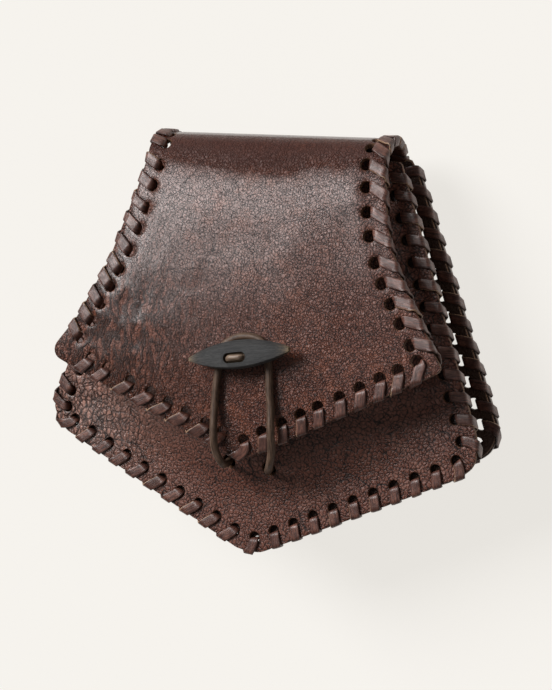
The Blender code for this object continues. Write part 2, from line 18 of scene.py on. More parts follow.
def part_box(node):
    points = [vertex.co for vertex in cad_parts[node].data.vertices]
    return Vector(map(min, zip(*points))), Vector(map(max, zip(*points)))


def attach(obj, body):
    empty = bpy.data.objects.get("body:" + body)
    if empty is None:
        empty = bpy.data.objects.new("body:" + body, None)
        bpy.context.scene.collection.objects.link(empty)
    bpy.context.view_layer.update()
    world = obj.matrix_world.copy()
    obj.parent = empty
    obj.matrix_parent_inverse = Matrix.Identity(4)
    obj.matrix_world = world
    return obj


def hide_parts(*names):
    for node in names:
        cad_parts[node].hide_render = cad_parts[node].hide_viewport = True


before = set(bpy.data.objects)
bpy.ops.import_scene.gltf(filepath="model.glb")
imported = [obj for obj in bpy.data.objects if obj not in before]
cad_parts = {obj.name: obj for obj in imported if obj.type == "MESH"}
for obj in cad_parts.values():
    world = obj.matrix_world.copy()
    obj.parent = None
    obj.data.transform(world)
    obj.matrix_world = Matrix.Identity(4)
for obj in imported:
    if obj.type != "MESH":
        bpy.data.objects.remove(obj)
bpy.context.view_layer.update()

print("solids:", sorted(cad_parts))

# %% [markdown]
# ## One set of measures
# The pattern is drawn in millimetres, as a leather worker would. Its X runs across the pouch, and its Y
# starts at the point of the back, goes up the back, over the roll and down the flap. The strap's solid tells
# where the pattern's origin lies in the model.

# %% Where the pattern's origin lies
MM = 0.001
STRAP_MIDDLE = 88.0
strap_low, strap_high = (np.array(corner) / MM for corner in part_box("belt_loop"))
strap_x, strap_y, _ = (strap_low + strap_high) / 2
ORIGIN = np.array([strap_x, strap_y - STRAP_MIDDLE, 0.0])
print("pattern origin, mm:", ORIGIN.round(2))

# %% [markdown]
# ## The camera, the floor and the light
# The pouch lies on its back, and the camera looks down on it from above and a little to the right. The floor
# is plain and pale. A soft sun from the upper left gives the light and the shade, a round lamp beside it
# shows only as the grey gloss on the leather, and a dim sky fills the shadows.

# %% Camera
PHOTO_HEIGHT_PX = 690
FOCAL_PX = 1631.0
CAMERA_AXES = [(0.91587, 0.02244, -0.40083), (-0.07941, 0.98880, -0.12607), (0.39354, 0.14729, 0.90739)]
CAMERA_PLACE = (0.24262, 0.08820, 0.57511)


def new_object(name, data):
    """An object in the scene that shows some data."""
    made = bpy.data.objects.new(name, data)
    bpy.context.scene.collection.objects.link(made)
    return made


def turn_object(made, axes, place):
    """Gives an object its place and its axes: its right, its up and its back."""
    made.matrix_world = Matrix([(*row, 0) for row in zip(*axes)] + [(0, 0, 0, 1)])
    made.location = place


camera = new_object("camera", bpy.data.cameras.new("camera"))
camera.data.sensor_fit = "VERTICAL"
camera.data.sensor_height = 36.0
camera.data.lens = FOCAL_PX * camera.data.sensor_height / PHOTO_HEIGHT_PX
camera.data.clip_start = 0.01
turn_object(camera, CAMERA_AXES, CAMERA_PLACE)
bpy.context.scene.camera = camera
bpy.context.scene.view_settings.view_transform = "Standard"
print("lens, mm:", round(camera.data.lens, 1))

# %% Floor and light
FLOOR_HALF = 12.0
KEY_TOWARDS, KEY_POWER, KEY_ANGLE = (-0.64, 0.50, 0.58), 4.2, math.radians(30)
SHEEN_TOWARDS, SHEEN_POWER, SHEEN_SIZE = (-0.69, 0.68, 1.04), 24.0, 0.60
SKY_COLOUR, SKY_STRENGTH = (1.0, 0.96, 0.92, 1), 0.19
floor_mesh = bpy.data.meshes.new("floor")
floor_corners = [(x * FLOOR_HALF, y * FLOOR_HALF, 0) for x, y in ((-1, -1), (1, -1), (1, 1), (-1, 1))]
floor_mesh.from_pydata(floor_corners, [], [(0, 1, 2, 3)])
floor = new_object("floor", floor_mesh)


def unit(vectors):
    """The vectors over their lengths."""
    return vectors / np.linalg.norm(vectors, axis=-1, keepdims=True)


def lamp(name, kind, towards, energy):
    """A light whose face looks back along towards, the direction from the pouch to it."""
    light = new_object(name, bpy.data.lights.new(name, kind))
    light.data.energy = energy
    away = -unit(np.array(towards))
    side = unit(np.cross(away, (0, 1, 0)))
    turn_object(light, (side, np.cross(side, away), -away), towards)
    return light


key = lamp("key", "SUN", KEY_TOWARDS, KEY_POWER)
key.data.angle = KEY_ANGLE
key.visible_glossy = False
sheen = lamp("sheen", "AREA", SHEEN_TOWARDS, SHEEN_POWER)
sheen.data.shape = "DISK"
sheen.data.size = SHEEN_SIZE
sheen.visible_diffuse = False
world = bpy.data.worlds.new("sky")
bpy.context.scene.world = world
world.use_nodes = True
sky = world.node_tree.nodes["Background"]
sky.inputs["Color"].default_value = SKY_COLOUR
sky.inputs["Strength"].default_value = SKY_STRENGTH

# %% [markdown]
# ## Shader sums as plain sums
# A finish is a web of nodes. Written by hand it is long, so a small class stands for a socket, and adding or
# multiplying two of them adds the Math node. Colours go through Mix nodes, because a Math node makes them
# grey.

# %% A socket that can be added and multiplied
class Value:
    """One output of a node, used as a number. Each operator adds one Math node."""

    def __init__(self, finish, socket):
        self.finish = finish
        self.socket = socket

    def math(self, operation, *others):
        return self.finish.node("ShaderNodeMath", {"operation": operation}, dict(enumerate((self, *others))))

    def __add__(self, other):
        return self.math("ADD", other)

    def __mul__(self, other):
        return self.math("MULTIPLY", other)

    def __sub__(self, other):
        return self.math("SUBTRACT", other)

    def __truediv__(self, other):
        return self.math("DIVIDE", other)

    def __rsub__(self, other):
        return self.finish.node("ShaderNodeMath", {"operation": "SUBTRACT"}, {0: other, 1: self})

    __radd__ = __add__
    __rmul__ = __mul__

    def above(self, low, high):
        """0 below low, 1 above high, and a smooth step between."""
        return self.finish.node("ShaderNodeMapRange", {"interpolation_type": "SMOOTHSTEP"},
                                {"Value": self, "From Min": low, "From Max": high})

    def least(self, other):
        return self.math("MINIMUM", other)

    def most(self, other):
        return self.math("MAXIMUM", other)


# %% A finish under construction
class Finish:
    """A material with its surface shader. node() adds any other node."""

    def __init__(self, name, **fixed):
        self.material = bpy.data.materials.new(name)
        self.material.use_nodes = True
        self.tree = self.material.node_tree
        self.shader = self.tree.nodes["Principled BSDF"]
        for socket, value in fixed.items():
            self.shader.inputs[socket.replace("_", " ")].default_value = value

    def node(self, kind, settings=None, inputs=None, output=None):
        """Adds a node: its settings first, then its sockets by name or number, and gives one output."""
        made = self.tree.nodes.new(kind)
        for key, value in (settings or {}).items():
            setattr(made, key, value)
        for key, value in (inputs or {}).items():
            shown = [s for s in made.inputs if s.enabled]
            socket = shown[key] if isinstance(key, int) else next(s for s in shown if s.name == key)
            if isinstance(value, Value):
                self.tree.links.new(value.socket, socket)
            elif isinstance(value, tuple) and socket.type == "RGBA":
                socket.default_value = (*value, 1)
            else:
                socket.default_value = value
        if output is None:
            return Value(self, next(s for s in made.outputs if s.enabled))
        return Value(self, made.outputs[output])

    def attributes(self, *names):
        """The mesh's measures as numbers, in the order of their names."""
        return [self.node("ShaderNodeAttribute", {"attribute_name": name}, output="Fac") for name in names]

    def vector(self, name):
        """A measure of the mesh that has three numbers."""
        return self.node("ShaderNodeAttribute", {"attribute_name": name}, output="Vector")

    def scaled(self, vector, factors):
        return self.node("ShaderNodeVectorMath", {"operation": "MULTIPLY"}, {0: vector, 1: factors})

    def added(self, vector, other):
        return self.node("ShaderNodeVectorMath", {"operation": "ADD"}, {0: vector, 1: other})

    def noise(self, place, scale, detail=2.0, rough=0.5, output="Fac"):
        return self.node("ShaderNodeTexNoise", {"noise_dimensions": "3D"},
                         {"Vector": place, "Scale": scale, "Detail": detail, "Roughness": rough}, output)

    def cells(self, place, scale):
        """The distance to the nearest border of a net of cells."""
        return self.node("ShaderNodeTexVoronoi", {"feature": "DISTANCE_TO_EDGE", "voronoi_dimensions": "2D"},
                         {"Vector": place, "Scale": scale, "Randomness": 1.0})

    def warped(self, place, *pushes):
        """The place pushed about by noise, so that a net's straight lines wander.

        Each push is the noise's scale and its amount in millimetres.
        """
        for scale, amount in pushes:
            centred = self.added(self.noise(place, scale, output="Color"), (-0.5, -0.5, -0.5))
            place = self.added(place, self.scaled(centred, (amount, amount, amount)))
        return place

    def blend(self, factor, a, b):
        return self.node("ShaderNodeMix", {"data_type": "RGBA"}, {"Factor": factor, "A": a, "B": b})

    def finish(self, **inputs):
        """Links the shader's sockets that vary over the surface."""
        for name, value in inputs.items():
            self.tree.links.new(value.socket, self.shader.inputs[name.replace("_", " ")])
        return self.material

    def bump(self, height, depth):
        """A normal from a height from 0 to 1 that stands for a depth in millimetres."""
        return self.node("ShaderNodeBump", {}, {"Height": height, "Distance": depth * MM, "Strength": 1.0})


# %% [markdown]
# ## The floor's finish
# The floor is a pale sheet that also glows a little, like a lit table for small goods, so the shadow beside
# the pouch stays light.

# %% The floor's paint
paint = Finish("floor_paint", Roughness=0.9, Specular_IOR_Level=0.0, Emission_Strength=1.0)
ground = paint.node("ShaderNodeTexCoord", output="Object")
speckle = paint.noise(ground, 3.0, 3.0)
floor_mesh.materials.append(paint.finish(
    Base_Color=paint.blend(speckle, (0.150, 0.147, 0.144), (0.154, 0.151, 0.148)),
    Emission_Color=paint.blend(speckle, (0.773, 0.750, 0.708), (0.777, 0.754, 0.712))))

# %% [markdown]
# ## Lines on the flat pattern
# A pattern piece is a row of straight edges with rounded corners. The seam is the same line moved inwards.
# Both are kept as closely set points with their running length, so a place on them is one look-up for a whole
# array.

# %% Running lengths
def run_lengths(points):
    """The running length at each point of a row: the sum of the distances so far."""
    return np.concatenate([[0], np.cumsum(np.linalg.norm(np.diff(points, axis=0), axis=-1))])


def at_lengths(places, lengths, points):
    """The places at some running lengths, on straight lines between a row's points."""
    return np.stack([np.interp(places, lengths, column) for column in points.T], -1)


def in_parts(rule, points, size):
    """A rule worked out for part after part of the points, so that its tables stay small."""
    return np.concatenate([rule(part) for part in np.array_split(points, len(points) // size + 1)])


# %% Rounded lines
def rounded(corners, radii, spacing, closed=False):
    """Points along straight edges whose corners are arcs.

    Each arc starts radius * tan(half the turn) before its corner.
    """
    corners = np.asarray(corners, float)
    count = len(corners)
    inner = range(count) if closed else range(1, count - 1)
    found = [] if closed else [corners[:1]]
    for k, radius in zip(inner, radii):
        into = unit(corners[k] - corners[k - 1])
        out = unit(corners[(k + 1) % count] - corners[k])
        turn = math.atan2(into[0] * out[1] - into[1] * out[0], into @ out)
        signed = math.copysign(radius, turn)
        start = corners[k] - into * radius * math.tan(abs(turn) / 2)
        left = np.array([-into[1], into[0]]) * signed
        angles = np.linspace(0, turn, max(4, int(radius * abs(turn) / (spacing / 2))))[:, None]
        found.append(start + left - left * np.cos(angles) + into * signed * np.sin(angles))
    found.append(found[0][:1] if closed else corners[-1:])
    rough = np.concatenate(found)
    lengths = run_lengths(rough)
    places = np.linspace(0, lengths[-1], max(2, round(lengths[-1] / spacing)) + 1)
    line = at_lengths(places, lengths, rough)
    return line[:-1] if closed else line


class Line:
    """A flat line through closely set points."""

    def __init__(self, points):
        self.points = points
        steps = np.diff(points, axis=0)
        self.lengths = run_lengths(points)
        self.length = self.lengths[-1]
        self.middles = (self.lengths[1:] + self.lengths[:-1]) / 2
        self.headings = np.unwrap(np.arctan2(steps[:, 1], steps[:, 0]))

    def at(self, s):
        """The points and the directions after the running lengths s."""
        heading = np.interp(s, self.middles, self.headings)
        return at_lengths(s, self.lengths, self.points), np.stack([np.cos(heading), np.sin(heading)], -1)

    def beside(self, s, out):
        """The points a distance out to the right of the line, which is towards the edge."""
        place, along = self.at(s)
        return place + np.stack([along[..., 1], -along[..., 0]], -1) * np.asarray(out)[..., None]

    def moved(self, out):
        return Line(self.beside(self.lengths, np.full(len(self.lengths), out)))

    def nearest(self, points):
        """The running length of the line's point that is nearest to each of the points."""
        def look_up(part):
            return self.lengths[np.argmin(((self.points[None] - part[:, None]) ** 2).sum(-1), axis=1)]

        return in_parts(look_up, np.asarray(points, float), 500)


# %% The outlines of the body and the flap
BODY_HEIGHT = 139.4
SHOULDER_HALF = 52.5
BODY_CORNERS = [(-SHOULDER_HALF, BODY_HEIGHT), (-88.2, 42.6), (1.8, -0.8), (88.6, 41.2),
                (SHOULDER_HALF, BODY_HEIGHT)]
BODY_RADII = [12.0, 14.0, 12.0]
NECK_HALF = 46.9
ROLL_RADIUS = 12.0
ROLL_TURN = math.radians(163.0)
ROLL_LENGTH = ROLL_RADIUS * ROLL_TURN
ROLL_END = BODY_HEIGHT + ROLL_LENGTH
FLAP_CORNERS = [(NECK_HALF, BODY_HEIGHT), (NECK_HALF, ROLL_END), (52.0, ROLL_END + 29.9),
                (76.4, ROLL_END + 70.4), (2.5, ROLL_END + 108.9), (-78.5, ROLL_END + 76.4),
                (-68.0, ROLL_END + 62.5), (-52.2, ROLL_END + 29.9), (-NECK_HALF, ROLL_END),
                (-NECK_HALF, BODY_HEIGHT)]
FLAP_RADII = [12.0, 80.0, 7.0, 9.0, 7.0, 40.0, 80.0, 12.0]
FLAP_CUT_RADII = [12.0, 80.0, 2.0, 6.0, 4.0, 40.0, 80.0, 12.0]
LACE_INSET = 5.8
FINE_STEP = 0.25
# The front and the gusset reach a little higher than the back's shoulder, up into the roll
TOP_HALF, TOP = 49.9, BODY_HEIGHT + 7.2
FRONT_CORNERS = [(-TOP_HALF, TOP), *BODY_CORNERS[1:-1], (TOP_HALF, TOP)]
BODY_EDGE = Line(rounded(FRONT_CORNERS, BODY_RADII, FINE_STEP))
FLAP_EDGE = Line(rounded(FLAP_CORNERS, FLAP_RADII, FINE_STEP))
BODY_SEAM = BODY_EDGE.moved(-LACE_INSET)
FLAP_SEAM = FLAP_EDGE.moved(-LACE_INSET)
print("seams, mm:", round(BODY_SEAM.length, 1), round(FLAP_SEAM.length, 1))

# %% [markdown]
# ## Where the holes are
# The lace holes of a handmade pouch are not quite even. Those of the flap are set one by one, as on the real
# one, and those of the body go by stretches, each with its own even step.

# %% Holes along the seams
END_HOLE = 2.8
ROLL_STITCHES = 5
TOP_STITCH = 6.6
FLAP_HOLES_SEEN = np.array([
    (39.0, -6.7), (40.8, 0.1), (41.9, 8.1), (44.0, 16.8), (46.4, 25.0), (49.6, 34.1), (53.4, 40.8),
    (56.5, 48.1), (60.0, 55.1), (64.1, 62.6), (67.9, 68.2), (61.1, 72.6), (54.3, 75.5), (47.5, 79.3),
    (40.1, 83.4), (32.2, 87.6), (25.6, 90.5), (18.6, 94.2), (11.0, 98.3), (3.5, 101.1), (-4.6, 99.2),
    (-11.4, 96.3), (-19.6, 93.4), (-27.1, 90.4), (-34.6, 87.8), (-43.2, 84.2), (-52.8, 79.5),
    (-60.0, 75.9), (-65.9, 69.8), (-62.9, 62.6), (-60.2, 55.6), (-56.5, 49.2), (-54.1, 42.8),
    (-51.7, 35.1), (-49.0, 26.8), (-47.4, 19.2), (-45.6, 10.6), (-43.9, 2.6), (-42.4, -5.4)]) + (0, ROLL_END)
flap_seen = FLAP_SEAM.nearest(FLAP_HOLES_SEEN)
FLAP_HOLES = np.concatenate([np.linspace(END_HOLE, flap_seen[0], ROLL_STITCHES + 1)[:-1], flap_seen,
                             np.linspace(flap_seen[-1], FLAP_SEAM.length - END_HOLE, ROLL_STITCHES + 1)[1:]])
ON_ROLL = (FLAP_HOLES < flap_seen[0] - 1) | (FLAP_HOLES > flap_seen[-1] + 1)
BODY_STRETCHES = [((-47.1, 134.0), (-77.5, 53.5), 10), ((-79.0, 47.5), (-79.0, 47.5), 0),
                  ((-76.3, 42.0), (-5.0, 8.6), 9), ((3.0, 7.4), (77.8, 43.4), 10),
                  ((80.2, 50.0), (80.2, 50.0), 0), ((77.4, 57.6), (47.1, 134.0), 10)]
BODY_HOLES = np.concatenate([np.linspace(*BODY_SEAM.nearest([a, b]), steps + 1)
                             for a, b, steps in BODY_STRETCHES])
FRONT_HOLES = np.concatenate([[BODY_HOLES[0] - TOP_STITCH], BODY_HOLES, [BODY_HOLES[-1] + TOP_STITCH]])
print("holes in flap, back and front:", len(FLAP_HOLES), len(BODY_HOLES), len(FRONT_HOLES))

# %% How far each stitch slants, and how deep its hole and its lace are
FLAP_MARKS = FLAP_SEAM.nearest((0, ROLL_END) + np.array([
    (46.9, -20), (46, 0), (52, 40), (66, 66), (40, 86), (4, 104), (-30, 90), (-64, 72), (-56, 45), (-46, 0),
    (-46.9, -20)]))
flap_slants, flap_deeper, flap_lace_deeper = (np.interp(FLAP_HOLES, FLAP_MARKS, row) for row in (
    [2.0, 5.2, 6.0, 4.6, 2.6, 3.4, 5.6, 2.4, 3.4, 2.6, 2.0],
    [0.2, 1.2, 1.3, 0.8, 0.2, 0.2, 0.2, 0.0, 0.0, 0.2, 0.2],
    [0.2, 0.2, 0.1, 0.0, -0.2, -0.2, -0.2, -0.1, 0.0, 0.2, 0.2]))
FRONT_MARKS = BODY_SEAM.nearest([(-60, 100), (-78, 46), (-40, 24), (-6, 8),
                                 (6, 8), (40, 25), (78, 46), (60, 100)])
front_slants, front_lace_deeper = (np.interp(FRONT_HOLES, FRONT_MARKS, row) for row in (
    [2.6, 3.2, 4.6, 3.8, 1.4, 1.4, 2.0, 2.6], [-0.2, 0.2, 0.5, 0.4, -0.3, -0.3, -0.2, -0.2]))
back_slants = np.full(len(BODY_HOLES), 3.2)
FRONT_DEEPER = -0.2
BACK_DEEPER = 0.6

# %% [markdown]
# ## How the sheets bend
# Each sheet is a function from its flat pattern to space. The back, the roll and the flap are one sheet that
# turns evenly over four stretches. The front leans away from the back and swells. The gusset folds inwards
# between the two.

# %% The back, the roll and the flap
LEATHER = 2.0
GUSSET_LEATHER = 1.6
GAP = 0.3
STRAP_LEATHER = 2.2
BELT_GAP = 4.6
BACK_Z = STRAP_LEATHER + BELT_GAP + LEATHER / 2
STRETCH_LENGTHS = np.array([BODY_HEIGHT, ROLL_LENGTH, 72.4, 36.5])
STRETCH_TURNS = np.array([0.0, ROLL_TURN, math.radians(6.0), math.radians(18.0)])


def starts(steps):
    """The sum of all the steps before each one."""
    return np.concatenate([[0], np.cumsum(steps)[:-1]])


def chord(length, bend):
    """The distance between an arc's ends: its length times sin(half the bend) over half the bend."""
    return length * np.sinc(bend / (2 * np.pi))


STRETCH_BEGINS = starts(STRETCH_LENGTHS)
STRETCH_HEADINGS = starts(STRETCH_TURNS)
stretch_chords = chord(STRETCH_LENGTHS, STRETCH_TURNS)
stretch_means = STRETCH_HEADINGS + STRETCH_TURNS / 2
STRETCH_Y = starts(stretch_chords * np.cos(stretch_means))
STRETCH_Z = BACK_Z + starts(stretch_chords * np.sin(stretch_means))
print("the stretches begin at, mm:", STRETCH_BEGINS.round(1))


def wrap_middle(flat):
    """The wrap: each stretch is an arc, so a point is one chord away at the heading plus half the bend."""
    x, run = flat[:, 0], flat[:, 1]
    k = np.clip(np.searchsorted(STRETCH_BEGINS, run, side="right") - 1, 0, 3)
    part = run - STRETCH_BEGINS[k]
    bend = STRETCH_TURNS[k] / STRETCH_LENGTHS[k] * part
    reach = chord(part, bend)
    angle = STRETCH_HEADINGS[k] + bend / 2
    return np.stack([x, STRETCH_Y[k] + reach * np.cos(angle), STRETCH_Z[k] + reach * np.sin(angle)], -1)


# %% The front
MOUTH_DEPTH = 16.0
FRONT_TILT = math.radians(6.4)
FRONT_DROP = 2.5
CROWN = 13.0
CROWN_SPREAD = 20.0
FLAT_BAND = 9.5
MOUTH_SPREAD = 45.0
MOUTH_SHARE = 0.25


def edge_depths(flat, corners):
    """How far inside each straight edge of an open outline the points are, one column an edge."""
    corners = np.asarray(corners, float)
    along = unit(np.diff(corners, axis=0))
    away = flat[:, None] - corners[:-1]
    return along[:, 0] * away[..., 1] - along[:, 1] * away[..., 0]


def swell(flat):
    """The front's crown: one minus a bell curve of the depth past the flat band, for all edges multiplied."""
    depths = np.maximum(edge_depths(flat, BODY_CORNERS) - FLAT_BAND, 0)
    height = CROWN * np.prod(1 - np.exp(-((depths / CROWN_SPREAD) ** 2)), axis=1)
    closed = 1 - np.exp(-((np.maximum(BODY_HEIGHT - flat[:, 1], 0) / MOUTH_SPREAD) ** 2))
    return height * (MOUTH_SHARE + (1 - MOUTH_SHARE) * closed)


def front_middle(flat):
    """The front: a plane that leans by its tilt, with the crown added square to it."""
    down = BODY_HEIGHT - flat[:, 1]
    crown = swell(flat)
    cos, sin = math.cos(FRONT_TILT), math.sin(FRONT_TILT)
    return np.stack([flat[:, 0], BODY_HEIGHT - FRONT_DROP - down * cos + crown * sin,
                     BACK_Z + MOUTH_DEPTH + down * sin + crown * cos], -1)


# %% Heights over a bent sheet
NUDGE = 0.1


def lifted(middle, side, flat, up):
    """Points at heights over a bent sheet: its middle plus its normal times the height.

    The normal is the cross product of the steps to neighbours a little to each side.
    """
    along_x = middle(flat + (NUDGE, 0)) - middle(flat - (NUDGE, 0))
    along_y = middle(flat + (0, NUDGE)) - middle(flat - (0, NUDGE))
    return middle(flat) + unit(np.cross(along_x, along_y)) * (side * np.asarray(up))[..., None]


on_wrap = partial(lifted, wrap_middle, -1)
on_front = partial(lifted, front_middle, 1)


# %% The gusset
FLANGE = 7.6
FLANGE_EDGE = 0.4
FOLD_DEPTH = 14.0
FOLD_WIDTH = 2 * FOLD_DEPTH
FOLD_EASE = 14.0
GUSSET_WIDTH = 2 * FLANGE + FOLD_WIDTH
GUSSET_OFF = LEATHER / 2 + GAP + GUSSET_LEATHER / 2
CORNER_PLACES = BODY_SEAM.nearest(BODY_CORNERS[1:-1])
FOLD_SHARES = (0.05, 0.35, 0.05)
CORNER_REACH = (1.9, 4.6, 1.9)


def fold_depth(u):
    """The fold's depth along the seam: at each corner it falls to a share of itself and eases out again."""
    depth = np.full(len(u), FOLD_DEPTH)
    for place, share, reach in zip(CORNER_PLACES, FOLD_SHARES, CORNER_REACH):
        away = np.maximum(np.abs(u - place) - reach, 0)
        depth *= 1 - (1 - share) * np.exp(-((away / FOLD_EASE) ** 2))
    return depth


def gusset_middle(strip):
    """The gusset: flanges behind the front and on the back, and half a sine wave of fold goes inwards."""
    u, across = strip[:, 0], strip[:, 1]
    level = np.clip((across - FLANGE) / FOLD_WIDTH, 0, 1)
    flange = np.minimum(np.minimum(across, FLANGE), GUSSET_WIDTH - across)
    inset = FLANGE_EDGE + flange + fold_depth(u) * np.sin(np.pi * level)
    flat = BODY_SEAM.beside(u, LACE_INSET - inset)
    front = on_front(flat, np.full(len(u), -GUSSET_OFF))
    back = on_wrap(flat, np.full(len(u), -GUSSET_OFF))
    return front + (back - front) * level[:, None]


on_gusset = partial(lifted, gusset_middle, 1)


# %% [markdown]
# ## Cutting a flat blank
# A blank is triangulated flat with all its holes, and bent afterwards, as the real leather is. Points sit
# round the outline and round each hole, with a jittered hexagonal net between them, so no grid shows in the
# shading.

# %% Inside an outline, and how far from it
NO_HOLE = 99.0


def inside(points, loop):
    """Whether points lie in a closed loop: a ray to one side crosses it an odd number of times."""
    a, b = loop, np.roll(loop, -1, axis=0)
    slope = (b[:, 0] - a[:, 0]) / np.where(b[:, 1] == a[:, 1], 1, b[:, 1] - a[:, 1])

    def odd(part):
        x, y = part[:, 0, None], part[:, 1, None]
        crosses = ((a[:, 1] > y) != (b[:, 1] > y)) & (x < a[:, 0] + slope * (y - a[:, 1]))
        return crosses.sum(axis=1) % 2 == 1

    return in_parts(odd, points, 2000)


def distance(points, loop):
    """The distance from points to a loop of closely set points."""
    return in_parts(lambda part: np.sqrt(((part[:, None] - loop) ** 2).sum(-1).min(axis=1)), points, 2000)


def hole_distance(points, centres, radii):
    """The distance from points to the nearest rim of the round holes."""
    if not len(centres):
        return np.full(len(points), NO_HOLE)
    return in_parts(lambda part: (np.linalg.norm(part[:, None] - centres, axis=-1) - radii).min(axis=1),
                    points, 4000)


# %% The blank
EDGE_ROUND = 0.35
HOLE_SIDES = 20
NET_JITTER = 0.16


def circle(sides, turn=0.0):
    """Points evenly round a circle of radius 1, from one angle onwards."""
    angles = np.linspace(0, 2 * np.pi, sides, endpoint=False) + turn
    return np.stack([np.cos(angles), np.sin(angles)], -1)


def ring(centre, radius):
    """Points round a hole, clockwise, so that the leather is on their left."""
    return centre + radius * circle(HOLE_SIDES) * (1, -1)


def loop_normals(loop):
    """Directions out of the leather, to the right of each point's way to the next."""
    along = unit(np.roll(loop, -1, axis=0) - np.roll(loop, 1, axis=0))
    return np.stack([along[:, 1], -along[:, 0]], -1)


def blank(outline, centres, radii, nets, seed):
    """A flat blank: its points, its triangles, its loops and their rims.

    nets has rows of lowest y, highest y and spacing.
    """
    rims = [outline - EDGE_ROUND * loop_normals(outline)]
    rims += [ring(centre, radius + EDGE_ROUND) for centre, radius in zip(centres, radii)]
    seeds = np.random.default_rng(seed)
    inner = []
    for low, high, spacing in nets:
        rows = np.arange(low, high, spacing * math.sqrt(3) / 2)
        columns = np.arange(outline[:, 0].min(), outline[:, 0].max(), spacing)
        net = np.stack(np.meshgrid(columns, rows), -1)
        net[1::2, :, 0] += spacing / 2
        net = net.reshape(-1, 2) + seeds.uniform(-NET_JITTER, NET_JITTER, (net.size // 2, 2)) * spacing
        net = net[inside(net, rims[0])]
        far = distance(net, rims[0]) > 0.6 * spacing
        inner.append(net[far & (hole_distance(net, centres, radii + EDGE_ROUND) > 0.5 * spacing)])
    points = np.concatenate([*rims, *inner])
    loops = np.split(np.arange(sum(map(len, rims))), np.cumsum([len(rim) for rim in rims])[:-1])
    edges = np.concatenate([np.stack([index, np.roll(index, -1)], -1) for index in loops])
    flat, _, faces, *_ = delaunay_2d_cdt(points.tolist(), edges.tolist(), [], 0, 1e-7)
    if len(flat) != len(points):
        raise ValueError("the blank's points were merged")
    flat, faces = np.array([tuple(point) for point in flat]), np.array(faces)
    middles = flat[faces].mean(axis=1)
    keep = inside(middles, rims[0]) & (hole_distance(middles, centres, radii + 0.9 * EDGE_ROUND) > 0)
    return flat, faces[keep], loops, rims


# %% [markdown]
# ## From blank to sheet
# The blank's points become a top and a bottom face. Between them each loop gets rows of points that round the
# cut edge over, as a worker's edge tool does. Every point keeps its place on the pattern, its distance from
# the nearest hole, and how much it belongs to the cut, and the finish reads these.

# %% A mesh with its measures
def new_piece(name, points, faces, material, measures=None, smooth=True):
    """A mesh object from points in millimetres from the pattern's origin, with an attribute a measure."""
    mesh = bpy.data.meshes.new(name)
    mesh.from_pydata(((points + ORIGIN) * MM).tolist(), [], faces)
    for key, values in (measures or {}).items():
        values = np.asarray(values, np.float32)
        kind, slot = ("FLOAT", "value") if values.ndim == 1 else ("FLOAT_VECTOR", "vector")
        mesh.attributes.new(key, kind, "POINT").data.foreach_set(slot, values.ravel())
    mesh.polygons.foreach_set("use_smooth", [smooth] * len(mesh.polygons))
    mesh.materials.append(material)
    print(name, "has", sum(len(face) - 2 for face in faces), "triangles")
    return new_object(name, mesh)


def stands_for(piece, node):
    """The piece rides on the pouch's one body, and takes the place and the finish of a solid."""
    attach(piece, "root")
    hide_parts(node)


# %% Smooth random hills
def step(x, low, high):
    """0 below low, 1 above high, and x * x * (3 - 2 * x) between."""
    x = np.clip((x - low) / (high - low), 0, 1)
    return x * x * (3 - 2 * x)


def hills(points, size, seed):
    """Smooth random numbers from -1 to 1: values on a square net of that size, joined by smooth steps."""
    net = np.random.default_rng(seed).uniform(-1, 1, (64, 64))
    cell = points / size + 1000.5
    low = np.floor(cell).astype(int)
    part = step(cell - low, 0, 1)
    i, j = (low % 64).T
    s, t = part.T
    a = net[i, j] * (1 - s) + net[(i + 1) % 64, j] * s
    b = net[i, (j + 1) % 64] * (1 - s) + net[(i + 1) % 64, (j + 1) % 64] * s
    return a * (1 - t) + b * t


# %% What the laces do to the leather's edge
LACE_WIDTH = 4.0
SEAM_REACH = 9.0
PULL_MARGIN, PULL_SOFT = 1.1, 1.6
EDGE_OUT, EDGE_IN, EDGE_FADE = 0.30, 0.36, 1.4
PRESS, PRESS_SOFT = 0.13, 1.5


def near_seam(spots, seam):
    """Whether points lie within a lace's reach of a seam."""
    low, high = seam.points.min(axis=0) - SEAM_REACH, seam.points.max(axis=0) + SEAM_REACH
    boxed = ((spots > low) & (spots < high)).all(axis=1)
    found = np.zeros(len(spots), bool)
    found[boxed] = distance(spots[boxed], seam.points[::8]) < SEAM_REACH
    return found


def lace_pull(spots, seam, holes, slants, sense):
    """How close each point is to a lace's middle, from 0 to 1, and the way outwards there.

    A lace starts at its hole and moves by its slant on the way out: its place is hole + slant * out / inset.
    """
    s = seam.nearest(spots)
    place, along = seam.at(s)
    outward = np.stack([along[:, 1], -along[:, 0]], -1)
    out = ((spots - place) * outward).sum(axis=1)
    lace = holes + sense * slants * np.clip(out / LACE_INSET, 0, 1)[:, None]
    gap = np.abs(lace - s[:, None]).min(axis=1)
    return step(LACE_WIDTH / 2 + PULL_MARGIN - gap, 0, PULL_SOFT), outward


# %% A sheet of leather
WALL_ANGLES = np.radians([30, 60, 90])


def nothing(flat, *others):
    """A relief or a measure that is 0 all over."""
    return np.zeros(len(flat))


